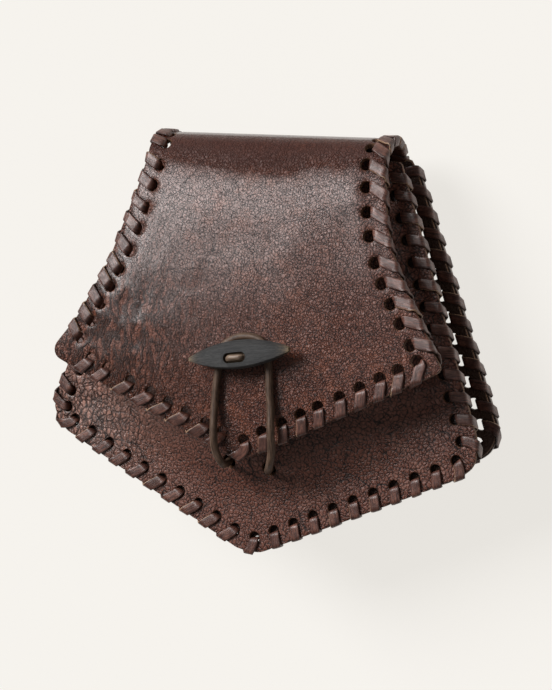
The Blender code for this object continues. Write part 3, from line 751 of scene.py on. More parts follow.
def sheet(name, outline, holes, nets, seed, surface, thickness, relief, material, pulls=(),
          coarse=nothing, rolled_and_shaded=nothing, waxed=nothing):
    """A leather sheet: top, bottom and rounded walls, bent by its surface.

    holes are the middles and the radii, and pulls are the seams whose laces press the edge. relief lifts the
    sheet, and the last three measures tell the finish where the grain is big, where the roll is stretched
    smooth and painted dark as painted shade, and where it is glossy. On the front the big grain is also painted
    lighter, as painted light.
    """
    flat, faces, loops, rims = blank(outline, *holes, nets, seed)
    count = len(flat)
    half = thickness / 2
    profile = [(EDGE_ROUND * math.sin(angle), half - EDGE_ROUND * (1 - math.cos(angle)), math.sin(angle))
               for angle in WALL_ANGLES]
    profile += [(reach, -up, cut) for reach, up, cut in reversed(profile)]
    spots = [flat, flat]
    ups = [np.full(count, half), np.full(count, -half)]
    cuts = [np.zeros(2 * count)]
    walls = []
    first = 2 * count
    for index, rim in zip(loops, rims):
        out = loop_normals(rim)
        for reach, up, cut in profile:
            spots.append(rim + out * reach)
            ups.append(np.full(len(rim), up))
            cuts.append(np.full(len(rim), cut))
        rows = [index, *(first + np.arange(len(profile) * len(rim)).reshape(len(profile), -1)), count + index]
        walls += [np.stack([np.roll(a, -1), a, b, np.roll(b, -1)], -1) for a, b in zip(rows, rows[1:])]
        first += len(profile) * len(rim)
    spots, ups, cuts = (np.concatenate(part) for part in (spots, ups, cuts))
    edge = distance(spots, rims[0])
    rim = hole_distance(spots, *holes)
    pressed, shift = np.zeros(len(spots)), np.zeros((len(spots), 2))
    for seam, hole_places, slants, sense in pulls:
        near = np.flatnonzero((edge < LACE_INSET + 2) & near_seam(spots, seam))
        close, outward = lace_pull(spots[near], seam, hole_places, slants, sense)
        pressed[near] += close * np.clip((LACE_INSET + PRESS_SOFT - edge[near]) / PRESS_SOFT, 0, 1)
        shift[near] += outward * (np.exp(-edge[near] / EDGE_FADE) * (EDGE_OUT - EDGE_IN * close))[:, None]
    lift = relief(spots, edge, rim, ups / half) - np.sign(ups) * PRESS * pressed
    all_faces = faces.tolist() + (faces[:, ::-1] + count).tolist() + np.concatenate(walls).tolist()
    return new_piece(name, surface(spots + shift, ups + lift), all_faces, material, {
        "flat": np.column_stack([spots, np.zeros(len(spots))]), "rim": rim, "cut": cuts,
        "under": np.clip(0.5 - ups / thickness, 0, 1),
        "coarse": coarse(spots), "rolled_and_shaded": rolled_and_shaded(spots), "waxed": waxed(spots)})


# %% [markdown]
# ## The leather's finish
# The hide is dyed a dark red brown and glazed. Its grain is a net of fine creases about a millimetre apart,
# with redder dye on the tops between them, and the creases are painted darker, partly as dye and partly as
# painted shade. The valleys of the folds and the band over the roll are painted dark as painted shade, and
# the front's left corner is painted lighter as painted light. The glaze gives a grey gloss, and the cut
# edges and the inside are raw.

# %% Leather
def dome(distance, reach):
    """A round hill from a cell's border inwards: x * (2 - x), where x is distance / reach, at most 1."""
    x = (distance / reach).least(1.0)
    return x * (2.0 - x)


def leather_finish(name, crease_dye_and_shade, tone, ember, gloss, rough, relief, wrinkled, pebbled, warmth, grain, cracked):
    """A leather whose colours go from the creases, painted dark partly as dye and partly as painted shade, to
    the worn tops. relief multiplies all its heights.

    Where the grain is coarse, wrinkled is the depth of upright folds and pebbled is the share of big cells.
    warmth is the strength of the redder patches, grain is the number of small cells in a millimetre, and
    cracked is how dark the long veins are.
    """
    hide = Finish(name, Coat_Roughness=0.28, Coat_IOR=1.5, Specular_IOR_Level=0.40)
    place = hide.vector("flat")
    cut, under, rim = hide.attributes("cut", "under", "rim")
    coarse, rolled_and_shaded, waxed = hide.attributes("coarse", "rolled_and_shaded", "waxed")
    drift = hide.noise(place, 0.035, 3.0)
    patch = hide.noise(place, 0.16, 4.0, 0.6)
    kept = hide.noise(place, 0.65, 3.0, 0.6).above(0.36, 0.58)
    small = dome(hide.cells(hide.warped(place, (0.28, 3.0), (1.2, 0.95)), grain), 0.44)
    small = 1 - (1 - small) * (0.50 + 0.45 * kept)
    big = dome(hide.cells(hide.warped(place, (0.2, 3.0), (0.8, 1.0)), 0.44), 0.32)
    ridges = hide.noise(hide.scaled(hide.warped(place, (0.12, 5.0)), (1.0, 0.34, 1.0)), 0.34, 3.0, 0.60)
    fold = (ridges - 0.5).math("ABSOLUTE").above(0.0, 0.11)
    lines = hide.cells(hide.warped(place, (0.07, 14.0), (0.55, 1.4)), 0.060).above(0.004, 0.026)
    twigs = hide.cells(hide.warped(place, (0.16, 6.0), (0.7, 1.6)), 0.16).above(0.01, 0.07)
    vein = 1 - (1 - lines) * hide.noise(place, 0.045, 2.0).above(0.46, 0.60)
    vein = vein * (1 - (1 - twigs) * hide.noise(place, 0.10, 2.0).above(0.48, 0.62) * 0.8)
    pits = hide.noise(place, 1.5, 3.0, 0.65)
    mixed = coarse * pebbled
    crease = (small * (1 - mixed) + big * mixed) * (1 - cracked + cracked * vein)
    # The creases are painted darker than the tops: partly their dye, partly painted shade in them.
    body = hide.blend(crease.above(0.10, 0.95), crease_dye_and_shade, tone)
    patches = patch.above(0.40, 0.68) * (0.25 + 0.75 * drift.above(0.35, 0.65)) * crease * warmth
    # Redder patches and coarse grain take the ember colour: dye on the flap, but on the front its pale ember is
    # painted light, mostly at the left corner.
    dyed_and_lit = hide.blend(patches.most(coarse * crease * 0.85), body, ember)
    # Painted shade: the valleys between the upright folds of the coarse grain are painted dark.
    shaded = hide.blend((1 - fold) * 0.8 * coarse, dyed_and_lit, crease_dye_and_shade)
    # Painted shade: the band over the roll is painted a nearly black red.
    roll_shaded = hide.blend(rolled_and_shaded.above(0.0, 0.8) * 0.8, shaded, (0.036, 0.005, 0.001))
    rimmed = hide.blend((1 - rim.above(0.05, 0.35)) * 0.5, roll_shaded, (0.10, 0.040, 0.018))
    raw = hide.noise(place, 2.5, 4.0, 0.7)
    flesh = hide.blend(raw, (0.030, 0.014, 0.009), (0.085, 0.042, 0.026))
    cut_colour = hide.blend(raw.above(0.3, 0.75), (0.050, 0.022, 0.011), (0.22, 0.11, 0.055))
    skinned = hide.blend(under.above(0.9, 0.97), rimmed, flesh)
    colour = hide.blend(cut.above(0.6, 0.95), skinned, cut_colour)
    height = small * (0.27 - 0.15 * mixed) + big * (0.04 + 0.50 * mixed) + fold * (0.04 + wrinkled * coarse)
    height = (height + pits * 0.22 + vein * 0.12) * (1 - rolled_and_shaded * 0.3)
    worn = (1 - cut.above(0.3, 0.8)) * (1 - under.above(0.6, 0.95)) * (1 - rolled_and_shaded)
    shine = rough + (1 - crease) * 0.20 + drift * 0.10 - 0.05 + cut * 0.25 - waxed * 0.08
    glaze = worn * gloss * crease * (1 + waxed.most(-1.0)) + waxed.above(1.2, 1.5)
    normal = hide.bump(height, relief)
    return hide.finish(Base_Color=colour, Roughness=shine, Coat_Weight=glaze, Normal=normal)


flap_leather = leather_finish(
    "flap_leather", (0.012, 0.005, 0.004), (0.115, 0.038, 0.024), (0.185, 0.058, 0.030),
    gloss=0.36, rough=0.34, relief=1.35, wrinkled=0.90, pebbled=0.25, warmth=1.0, grain=0.95, cracked=0.45)
# The front's pale mauve ember colour is painted light: it lightens the big grain of the front's left corner.
front_leather = leather_finish(
    "front_leather", (0.010, 0.003, 0.002), (0.130, 0.043, 0.027), (0.400, 0.205, 0.155),
    gloss=0.45, rough=0.38, relief=1.0, wrinkled=0.10, pebbled=0.80, warmth=0.35, grain=0.70, cracked=0.85)
# Painted shade: the gusset is a much darker, dull copy of the hide, for the shade it lies in between front and
# back.
shaded_gusset_leather = leather_finish(
    "shaded_gusset_leather", (0.012, 0.006, 0.005), (0.034, 0.016, 0.012), (0.060, 0.022, 0.014),
    gloss=0.0, rough=0.50, relief=1.0, wrinkled=0.10, pebbled=0.5, warmth=1.0, grain=0.8, cracked=0.5)

# %% [markdown]
# ## The back, the roll and the flap
# This is the largest piece. Under each lace the leather is pressed, and it bulges between them. Round each
# hole it dips. The lower left of the flap has soft upright wrinkles, and the whole flap is gently uneven.

# %% Shape of the wrap
OUTLINE_STEP = 1.2
HOLE_RADIUS = 2.2
ROLL_HOLE_RADIUS = 1.6
TIE = np.array([1.9, ROLL_END + 72.3])
TOGGLE_TURN = math.radians(10.0)
TIE_HALF = 2.7
TIE_CORD = 2.4
tie_along = np.array([math.cos(TOGGLE_TURN), -math.sin(TOGGLE_TURN)]) * TIE_HALF
wrap_outline = rounded(BODY_CORNERS + FLAP_CORNERS, [1.0, *BODY_RADII, 1.0, 1.0, *FLAP_CUT_RADII, 1.0],
                       OUTLINE_STEP, closed=True)


def hole_set(*rows):
    """The middles and the radii of all holes, from rows of middles that share a radius or have their own."""
    return (np.concatenate([middles for middles, _ in rows]),
            np.concatenate([np.broadcast_to(radius, len(middles)) for middles, radius in rows]))


flap_radii = np.where(ON_ROLL, ROLL_HOLE_RADIUS, HOLE_RADIUS)
wrap_holes = hole_set((BODY_SEAM.beside(BODY_HOLES, -BACK_DEEPER), HOLE_RADIUS),
                      (FLAP_SEAM.beside(FLAP_HOLES, -flap_deeper), flap_radii),
                      ([TIE - tie_along, TIE + tie_along], TIE_CORD / 2 + 0.2))


def bell(x, y, middle, spread):
    """A round hill: e to minus the sum of the squared distances over the spreads."""
    return np.exp(-(((x - middle[0]) / spread[0]) ** 2 + ((y - middle[1]) / spread[1]) ** 2))


def wrap_relief(flat, edge, rim, face):
    """Hills and a billow over the flap, wrinkles at its lower left and a dip round each hole."""
    past = flat[:, 1] - ROLL_END
    on_flap = np.clip(past / 20, 0, 1) * np.clip((edge - 3) / 8, 0, 1)
    soft = 0.30 * hills(flat, 26.0, 5) + 0.12 * hills(flat, 11.0, 6)
    bent = flat + 1.5 * np.stack([hills(flat, 7.0, 12), hills(flat, 7.0, 13)], -1)
    upright = 0.5 - np.abs(hills(bent * (1.0, 0.32), 3.6, 7))
    wrinkles = 0.42 * upright * bell(flat[:, 0], past, (-50, 62), (30, 26))
    dip = -0.02 * np.exp(-((rim / 0.4) ** 2)) * (face > 0)
    billow = 0.7 * step(past, -4, 15) * (1 - step(past, 15, 70)) * step(edge, 2, 12)
    return on_flap * soft + np.clip((edge - 0.5) / 4, 0, 1) * wrinkles + dip + billow


def past_roll(flat):
    """The distance past the roll's end, along a line that wanders a little and curves up at both sides."""
    return flat[:, 1] - ROLL_END + 2.0 * hills(flat, 14.0, 14) + 5 * (flat[:, 0] / NECK_HALF) ** 2


def wrap_rolled_and_shaded(flat):
    """1 on the roll over the top, where the stretched hide has less relief and no glaze, and is painted dark as
    painted shade.
    """
    past = past_roll(flat)
    return step(past, -50, -30) * (1 - step(past, -8, 12))


def wrap_waxed(flat):
    """Glossy at the flap's left and upper right, dull at its lower right, near its point and on the roll."""
    x, past = flat[:, 0], flat[:, 1] - ROLL_END
    glossy = 0.8 * bell(x, past, (-46, 42), (22, 26)) + 0.5 * bell(x, past, (34, 14), (16, 14))
    dull = 0.7 * bell(x, past, (44, 62), (26, 24)) + 0.9 * bell(x, past, (2, 84), (26, 16))
    band = step(past, -10, -6) * (1 - step(past_roll(flat) + 0.8 * hills(flat, 3.0, 15), -12, 14)) ** 2
    return np.clip(glossy - dull, -1, 1) - 7 * band + 1.6 * (1 - step(past, -12, -8))


def wrap_coarse(flat):
    """Big grain at the flap's lower left, and finer grain over the rest."""
    return np.clip(bell(flat[:, 0], flat[:, 1] - ROLL_END, (-52, 64), (34, 30)) * 1.15 + 0.05, 0, 1)


wrap = sheet("pouch_wrap", wrap_outline, wrap_holes,
             [(0.0, BODY_HEIGHT - 8, 2.6), (BODY_HEIGHT - 7, ROLL_END + 110, 1.35)], 1, on_wrap, LEATHER,
             wrap_relief, flap_leather,
             [(FLAP_SEAM, FLAP_HOLES, flap_slants, 1), (BODY_SEAM, BODY_HOLES, back_slants, 1)],
             wrap_coarse, wrap_rolled_and_shaded, wrap_waxed)
stands_for(wrap, "back_and_flap")

# %% Shape of the front
LOOP_HOLES = np.array([(-6.2, 34.6), (9.5, 33.4)])
LOOP_HOLE_RADIUS = 2.5
front_outline = rounded(FRONT_CORNERS, [1.5, *BODY_RADII, 1.5], OUTLINE_STEP, closed=True)
front_holes = hole_set((BODY_SEAM.beside(FRONT_HOLES, -FRONT_DEEPER), HOLE_RADIUS - 0.2),
                       (LOOP_HOLES, LOOP_HOLE_RADIUS))


def front_relief(flat, edge, rim, face):
    """Hills over the front and a dip round each hole."""
    soft = 0.35 * hills(flat, 22.0, 8) + 0.15 * hills(flat, 9.0, 9)
    dip = -0.04 * np.exp(-((rim / 0.45) ** 2)) * (face > 0)
    return np.clip((edge - 4) / 8, 0, 1) * soft + dip


def front_waxed(flat):
    """Glossier at the front's left corner."""
    return 2.8 * bell(*flat.T, (-62, 42), (26, 20)) - 0.8


def front_coarse_and_lit(flat):
    """Big grain at the front's left corner, which the finish also paints lighter there as painted light."""
    return np.clip(bell(*flat.T, (-72, 46), (34, 25)) + 0.05, 0, 1)


front = sheet("pouch_front", front_outline, front_holes, [(0.0, 60.0, 1.35), (61.0, TOP, 2.2)], 2, on_front,
              LEATHER, front_relief, front_leather, [(BODY_SEAM, FRONT_HOLES, front_slants, -1)],
              coarse=front_coarse_and_lit, waxed=front_waxed)
stands_for(front, "front_panel")

# %% Shape of the gusset
def rectangle(low_x, high_x, high_y, radius, spacing):
    """The outline of a rectangle with round corners that stands on Y = 0."""
    corners = [(low_x, 0), (high_x, 0), (high_x, high_y), (low_x, high_y)]
    return rounded(corners, [radius] * 4, spacing, closed=True)


def in_row(places, across):
    """Places along the gusset, all at one distance across it."""
    return np.column_stack([places, np.full(len(places), across)])


gusset_outline = rectangle(0, BODY_SEAM.length, GUSSET_WIDTH, 1.0, 1.6)
# The holes of the front flange are smaller and nearer to the edge, so that they stay out of sight
HOLE_ACROSS = LACE_INSET - FLANGE_EDGE
gusset_holes = hole_set((in_row(FRONT_HOLES, HOLE_ACROSS - 1.4), HOLE_RADIUS - 0.8),
                        (in_row(BODY_HOLES, GUSSET_WIDTH - HOLE_ACROSS), HOLE_RADIUS))


def gusset_relief(strip, edge, rim, face):
    """Small hills where the gusset is free, between its two flanges."""
    free = np.clip(np.minimum(strip[:, 1] - FLANGE, GUSSET_WIDTH - FLANGE - strip[:, 1]) / 4, 0, 1)
    return free * (0.35 * hills(strip, 12.0, 10) + 0.12 * hills(strip, 5.0, 11))


gusset = sheet("pouch_gusset", gusset_outline, gusset_holes, [(0.0, GUSSET_WIDTH, 2.0)], 3, on_gusset,
               GUSSET_LEATHER, gusset_relief, shaded_gusset_leather)
stands_for(gusset, "gusset")

# %% [markdown]
# ## The lacing
# A whipped lace is a flat ribbon wound like a spring round the strip of leather between the holes and the
# edge. So each stitch goes once round a rounded box, up through its hole, over the top, round the edge and
# back below, while it moves one step along the seam. The move over the top is what makes the stitches slant.

# %% The lace's finish
def lace_finish():
    """Smooth dyed lace: mauve brown with fine lengthwise streaks, edges painted dark partly as painted shade,
    and paler worn places.
    """
    lace = Finish("lace_leather", Coat_Roughness=0.30, Specular_IOR_Level=0.5)
    along = lace.vector("along")
    tone, side, back = lace.attributes("tone", "side", "back")
    streaks = lace.noise(lace.scaled(along, (0.30, 3.4, 3.4)), 1.0, 4.0, 0.65)
    pores = lace.noise(along, 2.2, 3.0, 0.6)
    wear = lace.noise(along, 0.35, 3.0, 0.6).above(0.42, 0.62)
    base = lace.blend(streaks.above(0.38, 0.62), (0.030, 0.010, 0.007), (0.125, 0.047, 0.033))
    toned = lace.blend(tone * 0.55, base, (0.050, 0.018, 0.012))
    faced = lace.blend(wear * streaks.above(0.40, 0.60) * 0.7, toned, (0.200, 0.082, 0.055))
    # The lace's edges are painted darker: partly their cut edge, partly painted shade along them.
    edged_and_shaded = lace.blend(side.math("ABSOLUTE").above(0.84, 0.97) * 0.75, faced, (0.030, 0.011, 0.008))
    frayed = side.above(0.84, 0.94) * pores.above(0.38, 0.50) * tone.above(0.58, 0.66)
    torn = lace.blend(frayed, edged_and_shaded, (0.30, 0.18, 0.11))
    colour = lace.blend(back.above(0.4, 0.6), torn, (0.055, 0.030, 0.022))
    return lace.finish(Base_Color=colour, Roughness=0.32 + 0.28 * pores, Coat_Weight=0.20 * (1 - back) * wear,
                       Normal=lace.bump(streaks * 0.6 + pores * 0.4, 0.16))


lace_leather = lace_finish()

# %% Tubes
def tube_faces(rows, sides):
    """The four-sided faces of a tube that is closed both ways. An open one leaves out the last row."""
    index = np.arange(rows * sides).reshape(rows, sides)
    onwards = np.roll(index, -1, axis=0)
    return np.stack([index, np.roll(index, -1, 1), np.roll(onwards, -1, 1), onwards], -1)


def along_tube(middle, section):
    """A tube's own measures at its points: the running length and the place in the cross-section."""
    return np.column_stack([np.repeat(run_lengths(middle), len(section)), np.tile(section, (len(middle), 1))])


# %% One lace along one seam
LACE_THICK = 0.9
LACE_LIFT = 0.06
EDGE_TIGHT = 0.1
BOX_ROUND = 0.8
MOST_SLANT = 1.15
LAST_PACE = 6.0
STITCH_STEPS = 34
LACE_TWIST = 0.10
LACE_BOW = 0.10
PINCH, PINCH_REACH = 0.10, 0.9
# The lace's cross-section is a flat box with round corners, as 16 directions of a rounded square
section_circle = circle(16, np.pi / 16)
SECTION = np.sign(section_circle) * np.abs(section_circle) ** (0.34, 0.48)


def lacing(name, seam, holes, slants, deeper, surface, depth, sense, seed, lace_width=4.1, inner=0.75):
    """The ribbon of one seam. Its middle goes round a rounded box beside each hole and along the seam.

    slants and deeper tell each stitch's move and how far its hole lies inside the seam. depth is how far the
    layers reach below the sheet's middle, and sense is the way along the seam. inner is where in its hole the
    ribbon stands.
    """
    top = LEATHER / 2 + LACE_LIFT + LACE_THICK / 2
    low = -depth - LACE_LIFT - LACE_THICK / 2
    outer = LACE_INSET + LACE_THICK / 2 - EDGE_TIGHT
    wide, tall = outer - inner, top - low
    box = rounded([(inner, low), (inner, top), (outer, top), (outer, low)], [BOX_ROUND] * 4, 0.1, closed=True)
    start = np.argmin(np.abs(box[:, 1] - (top + low) / 2) + 9 * (box[:, 0] > inner + 0.1))
    box = np.concatenate([box[start:], box[:start + 1]])
    lengths = run_lengths(box)
    places = np.linspace(0, lengths[-1], STITCH_STEPS, endpoint=False)
    out, up = at_lengths(places, lengths, box).T
    at_top = tall / 2
    at_low = at_top + wide + tall
    over = np.clip((places - at_top) / (at_low - at_top), 0, 1)
    below = np.clip((places - at_low) / wide, 0, 1)
    # Each stitch moves along by its slant over the top, and by the rest of its step below
    rng = np.random.default_rng(seed)
    here = holes[::sense]
    count = len(here)
    pace = np.append(np.diff(here), sense * LAST_PACE)
    share = (wide + 0.8) / (at_low - at_top)
    advance = np.minimum(slants[::sense] / share, MOST_SLANT * np.abs(pace)) * sense
    s = (here[:, None] + advance[:, None] * over + (pace - advance)[:, None] * below).ravel()
    stretch = 1 + deeper[::sense] / wide
    stretch = stretch[:, None] + (np.append(stretch[1:], stretch[-1]) - stretch)[:, None] * below
    outs = (outer - (outer - out) * stretch).ravel()
    ups = np.tile(up, count)

    def place(outs, ups):
        return surface(seam.beside(s, outs), ups)

    middle = place(outs, ups)
    ahead = np.roll(middle, -1, axis=0) - np.roll(middle, 1, axis=0)
    ahead[0], ahead[-1] = middle[1] - middle[0], middle[-1] - middle[-2]
    ahead = unit(ahead)
    # The ribbon's face looks away from the middle of the box that it goes round
    box_middle = place(np.full(len(s), (inner + outer) / 2), np.full(len(s), (top + low) / 2))
    out_slope, up_slope = at_lengths(places, lengths, np.gradient(box, lengths, axis=0)).T
    raised = place(outs - 0.05 * np.tile(up_slope, count), ups + 0.05 * np.tile(out_slope, count)) - middle
    away = np.sign(((middle - box_middle) * raised).sum(axis=1).mean())
    width = unit(np.cross(ahead, raised * away))
    face = np.cross(width, ahead)
    twist = (rng.uniform(-LACE_TWIST, LACE_TWIST, count)[:, None] * np.sin(np.pi * over)).reshape(-1, 1)
    width, face = width * np.cos(twist) + face * np.sin(twist), face * np.cos(twist) - width * np.sin(twist)
    pinched = 1 - PINCH * np.clip(1 - np.abs(out - inner) / PINCH_REACH, 0, 1)
    half = (lace_width / 2 * rng.uniform(0.92, 1.05, count)[:, None] * pinched).reshape(-1, 1)
    high = LACE_THICK / 2 * SECTION[:, 1] + LACE_BOW * (1 - SECTION[:, 0] ** 2)
    rings = middle[:, None] + width[:, None] * (half * SECTION[:, 0])[..., None]
    rings += face[:, None] * high[:, None]
    total, sides = len(middle), len(SECTION)
    ends = np.arange(sides), np.arange(sides)[::-1] + (total - 1) * sides
    faces = tube_faces(total, sides)[:-1].reshape(-1, 4)[:, ::-1].tolist() + [end.tolist() for end in ends]
    return new_piece(name, rings.reshape(-1, 3), faces, lace_leather, {
        "along": along_tube(middle, SECTION * (lace_width / 2, LACE_THICK / 2)),
        "tone": np.repeat(rng.uniform(0, 1, count), STITCH_STEPS * sides),
        "side": np.tile(SECTION[:, 0], total), "back": np.tile((SECTION[:, 1] < -0.5).astype(float), total)})


# %% The three lacings
flap_lace = lacing("flap_lace", FLAP_SEAM, FLAP_HOLES, flap_slants, flap_lace_deeper, on_wrap,
                   LEATHER / 2, 1, 21)
stands_for(flap_lace, "flap_lacing")
STACK = LEATHER / 2 + GAP + GUSSET_LEATHER
front_lace = lacing("front_lace", BODY_SEAM, FRONT_HOLES, front_slants, front_lace_deeper, on_front,
                    STACK, -1, 22, lace_width=3.8)
stands_for(front_lace, "front_lacing")
back_lace = lacing("back_lace", BODY_SEAM, BODY_HOLES, back_slants, np.full(len(BODY_HOLES), 0.1), on_wrap,
                   STACK, 1, 23, lace_width=3.9, inner=1.5)
stands_for(back_lace, "back_lacing")

# %% [markdown]
# ## The toggle
# The toggle is a leaf of dark wood, whittled with facets. Its shape is a cross-section that changes along its
# length, and the slot for the tie is cut with a Boolean.

# %% The toggle's own frame
TOGGLE_BASE = 2 * GAP + 2.6
TOGGLE_THICK = 5.0
TOGGLE_LENGTH = 38.8
TOGGLE_WIDTH = 10.6
TOGGLE_OFF = np.array([1.0, 1.2])


def toggle_axes():
    """The toggle's place and its three axes as rows: its length, its width and its height."""
    base, up_point = on_wrap(np.array([TIE, TIE]), np.array([LEATHER / 2, LEATHER / 2 + 1]))
    up = up_point - base
    right = np.array([1.0, 0, 0])
    wide = np.cross(up, right)
    c, s = math.cos(TOGGLE_TURN), math.sin(TOGGLE_TURN)
    return base, np.array([c * right + s * wide, c * wide - s * right, up])


TOGGLE_PLACE, TOGGLE_AXES = toggle_axes()


def by_toggle(points):
    """Points given along the toggle's axes, moved to their place on the flap."""
    return TOGGLE_PLACE + points @ TOGGLE_AXES


# %% Wood
def wood_finish():
    """Grey stained wood: fine grain along its length, paler on its worn tips."""
    wood = Finish("toggle_wood", Specular_IOR_Level=0.3)
    place = wood.vector("grain")
    worn, = wood.attributes("worn")
    lines = wood.noise(wood.scaled(wood.warped(place, (0.25, 0.8)), (0.10, 2.2, 2.2)), 1.0, 4.0, 0.65)
    fine = wood.noise(wood.scaled(place, (0.5, 7.0, 7.0)), 1.0, 2.0)
    base = wood.blend(lines.above(0.35, 0.7), (0.012, 0.012, 0.013), (0.038, 0.037, 0.037))
    grey = wood.blend(fine.above(0.4, 0.7) * 0.5, base, (0.060, 0.060, 0.058))
    colour = wood.blend(worn * lines.above(0.3, 0.6), grey, (0.24, 0.17, 0.10))
    return wood.finish(Base_Color=colour, Roughness=0.55 + 0.15 * fine,
                       Normal=wood.bump(lines * 0.6 + fine * 0.4, 0.12))


toggle_wood = wood_finish()

# %% Shape of the toggle
LEAF_ALONG = np.array([-1.0, -0.78, -0.50, -0.20, 0.12, 0.42, 0.70, 0.88, 1.0])
LEAF_WIDTH = np.array([0.14, 0.50, 0.80, 0.97, 1.00, 0.86, 0.60, 0.36, 0.16])
# The corners of the cross-section in order: the share of half the width and the share of the thickness
TOGGLE_SECTION = np.array([(-1.0, 0.42), (-0.94, 0.30), (-0.6, 0.04), (-0.4, 0.0), (0.4, 0.0), (0.6, 0.04),
                           (0.94, 0.30), (1.0, 0.42), (0.97, 0.56), (0.56, 0.965), (0.50, 1.0), (0.0, 1.0),
                           (-0.55, 1.0), (-0.86, 0.97), (-0.92, 0.92), (-0.99, 0.55)])


def toggle_mesh():
    """The leaf: at each place the section is scaled by the leaf's width there, and it thins at the tips."""
    t = np.sin(np.linspace(-np.pi / 2, np.pi / 2, 41))
    width = np.interp(t, LEAF_ALONG, LEAF_WIDTH)
    width = np.convolve(np.pad(width, 2, mode="edge"), np.ones(5) / 5, mode="valid")
    thick = TOGGLE_THICK * (0.45 + 0.55 * (1 - np.abs(t) ** 3.0))
    side = TOGGLE_SECTION[:, 0] * width[:, None] * TOGGLE_WIDTH / 2
    high = TOGGLE_SECTION[:, 1] * thick[:, None] + (TOGGLE_THICK - thick[:, None]) * 0.5
    along = np.repeat(t[:, None] * TOGGLE_LENGTH / 2, len(TOGGLE_SECTION), axis=1)
    return np.stack([along + TOGGLE_OFF[0], side + TOGGLE_OFF[1], high + TOGGLE_BASE], -1), t


toggle_points, toggle_t = toggle_mesh()
rows, sides = toggle_points.shape[:2]
toggle_faces = np.roll(tube_faces(rows, sides)[:-1].reshape(-1, 4), -1, axis=1).tolist()
toggle_faces += [list(range(sides))[::-1], list(range((rows - 1) * sides, rows * sides))]
toggle = new_piece("toggle_leaf", by_toggle(toggle_points.reshape(-1, 3)), toggle_faces, toggle_wood, {
    "grain": toggle_points.reshape(-1, 3), "worn": np.repeat(np.abs(toggle_t) ** 12, sides)})
stands_for(toggle, "toggle")

# %% Cut the slot
SLOT_LENGTH, SLOT_WIDTH, SLOT_DEPTH = 8.6, 3.7, 2.2
SHARP_EDGE = math.radians(28)


def stadium(length, width, low, high, name):
    """A closed plug with round ends, standing on the toggle's frame, for a Boolean cut."""
    angles = np.linspace(-np.pi / 2, np.pi / 2, 13)
    half = np.stack([(length - width) / 2 + width / 2 * np.cos(angles), width / 2 * np.sin(angles)], -1)
    flat = np.concatenate([half, -half])
    count = len(flat)
    points = np.concatenate([np.column_stack([flat, np.full(count, z)]) for z in (low, high)])
    faces = tube_faces(2, count)[0].tolist() + [list(range(count))[::-1], list(range(count, 2 * count))]
    return new_piece(name, by_toggle(points), faces, toggle_wood, smooth=False)


TOGGLE_TOP = TOGGLE_BASE + TOGGLE_THICK
plug = stadium(SLOT_LENGTH, SLOT_WIDTH, TOGGLE_TOP - SLOT_DEPTH, TOGGLE_TOP + 2, "slot_plug")
cut = toggle.modifiers.new("slot", "BOOLEAN")
cut.operation = "DIFFERENCE"
cut.object = plug
cut.solver = "EXACT"
graph = bpy.context.evaluated_depsgraph_get()
cut_mesh = bpy.data.meshes.new_from_object(toggle.evaluated_get(graph), depsgraph=graph)
toggle.modifiers.clear()
toggle.data = cut_mesh
toggle.data.set_sharp_from_angle(angle=SHARP_EDGE)
bpy.data.objects.remove(plug)
print("toggle has", len(cut_mesh.vertices), "points after the cut")

# %% [markdown]
# ## The cords
# The tie is a short cord through the toggle's slot. The closure loop comes out of two holes in the front,
# goes up over the point of the flap and round behind the toggle. Both are closed rings, so neither has an
# end.

# %% The cord's finish
def cord_finish(name, dark, light, gloss):
    """Waxed cord: fine twisted strands along it, a little shine on the tops."""
    cord = Finish(name, Coat_Roughness=0.35, Specular_IOR_Level=0.3)
    along = cord.vector("along")
    strands = cord.noise(cord.scaled(along, (0.25, 2.4, 2.4)), 1.0, 3.0, 0.6)
    dust = cord.noise(along, 0.5, 3.0)
    base = cord.blend(strands.above(0.3, 0.7), dark, light)
    colour = cord.blend(dust.above(0.5, 0.75) * 0.4, base, light)
    return cord.finish(Base_Color=colour, Roughness=0.62 - 0.1 * strands, Coat_Weight=gloss * strands,
                       Normal=cord.bump(strands, 0.10))


loop_cord = cord_finish("loop_cord", (0.034, 0.018, 0.011), (0.115, 0.068, 0.043), 0.10)
tie_cord = cord_finish("tie_cord", (0.080, 0.050, 0.034), (0.230, 0.160, 0.110), 0.6)


# %% A round cord along a closed curve
def smooth_ring(points, steps):
    """A closed curve through the points: each span is a cubic whose slopes follow its neighbours."""
    before, a, b, after = (np.roll(points, -k, axis=0)[:, None] for k in (-1, 0, 1, 2))
    t = (np.arange(steps) / steps)[None, :, None]
    curve = 0.5 * (2 * a + (b - before) * t + (2 * before - 5 * a + 4 * b - after) * t ** 2
                   + (3 * a - before - 3 * b + after) * t ** 3)
    return curve.reshape(-1, 3)


CORD_SIDES = 18
CORD_UNEVEN = 0.03


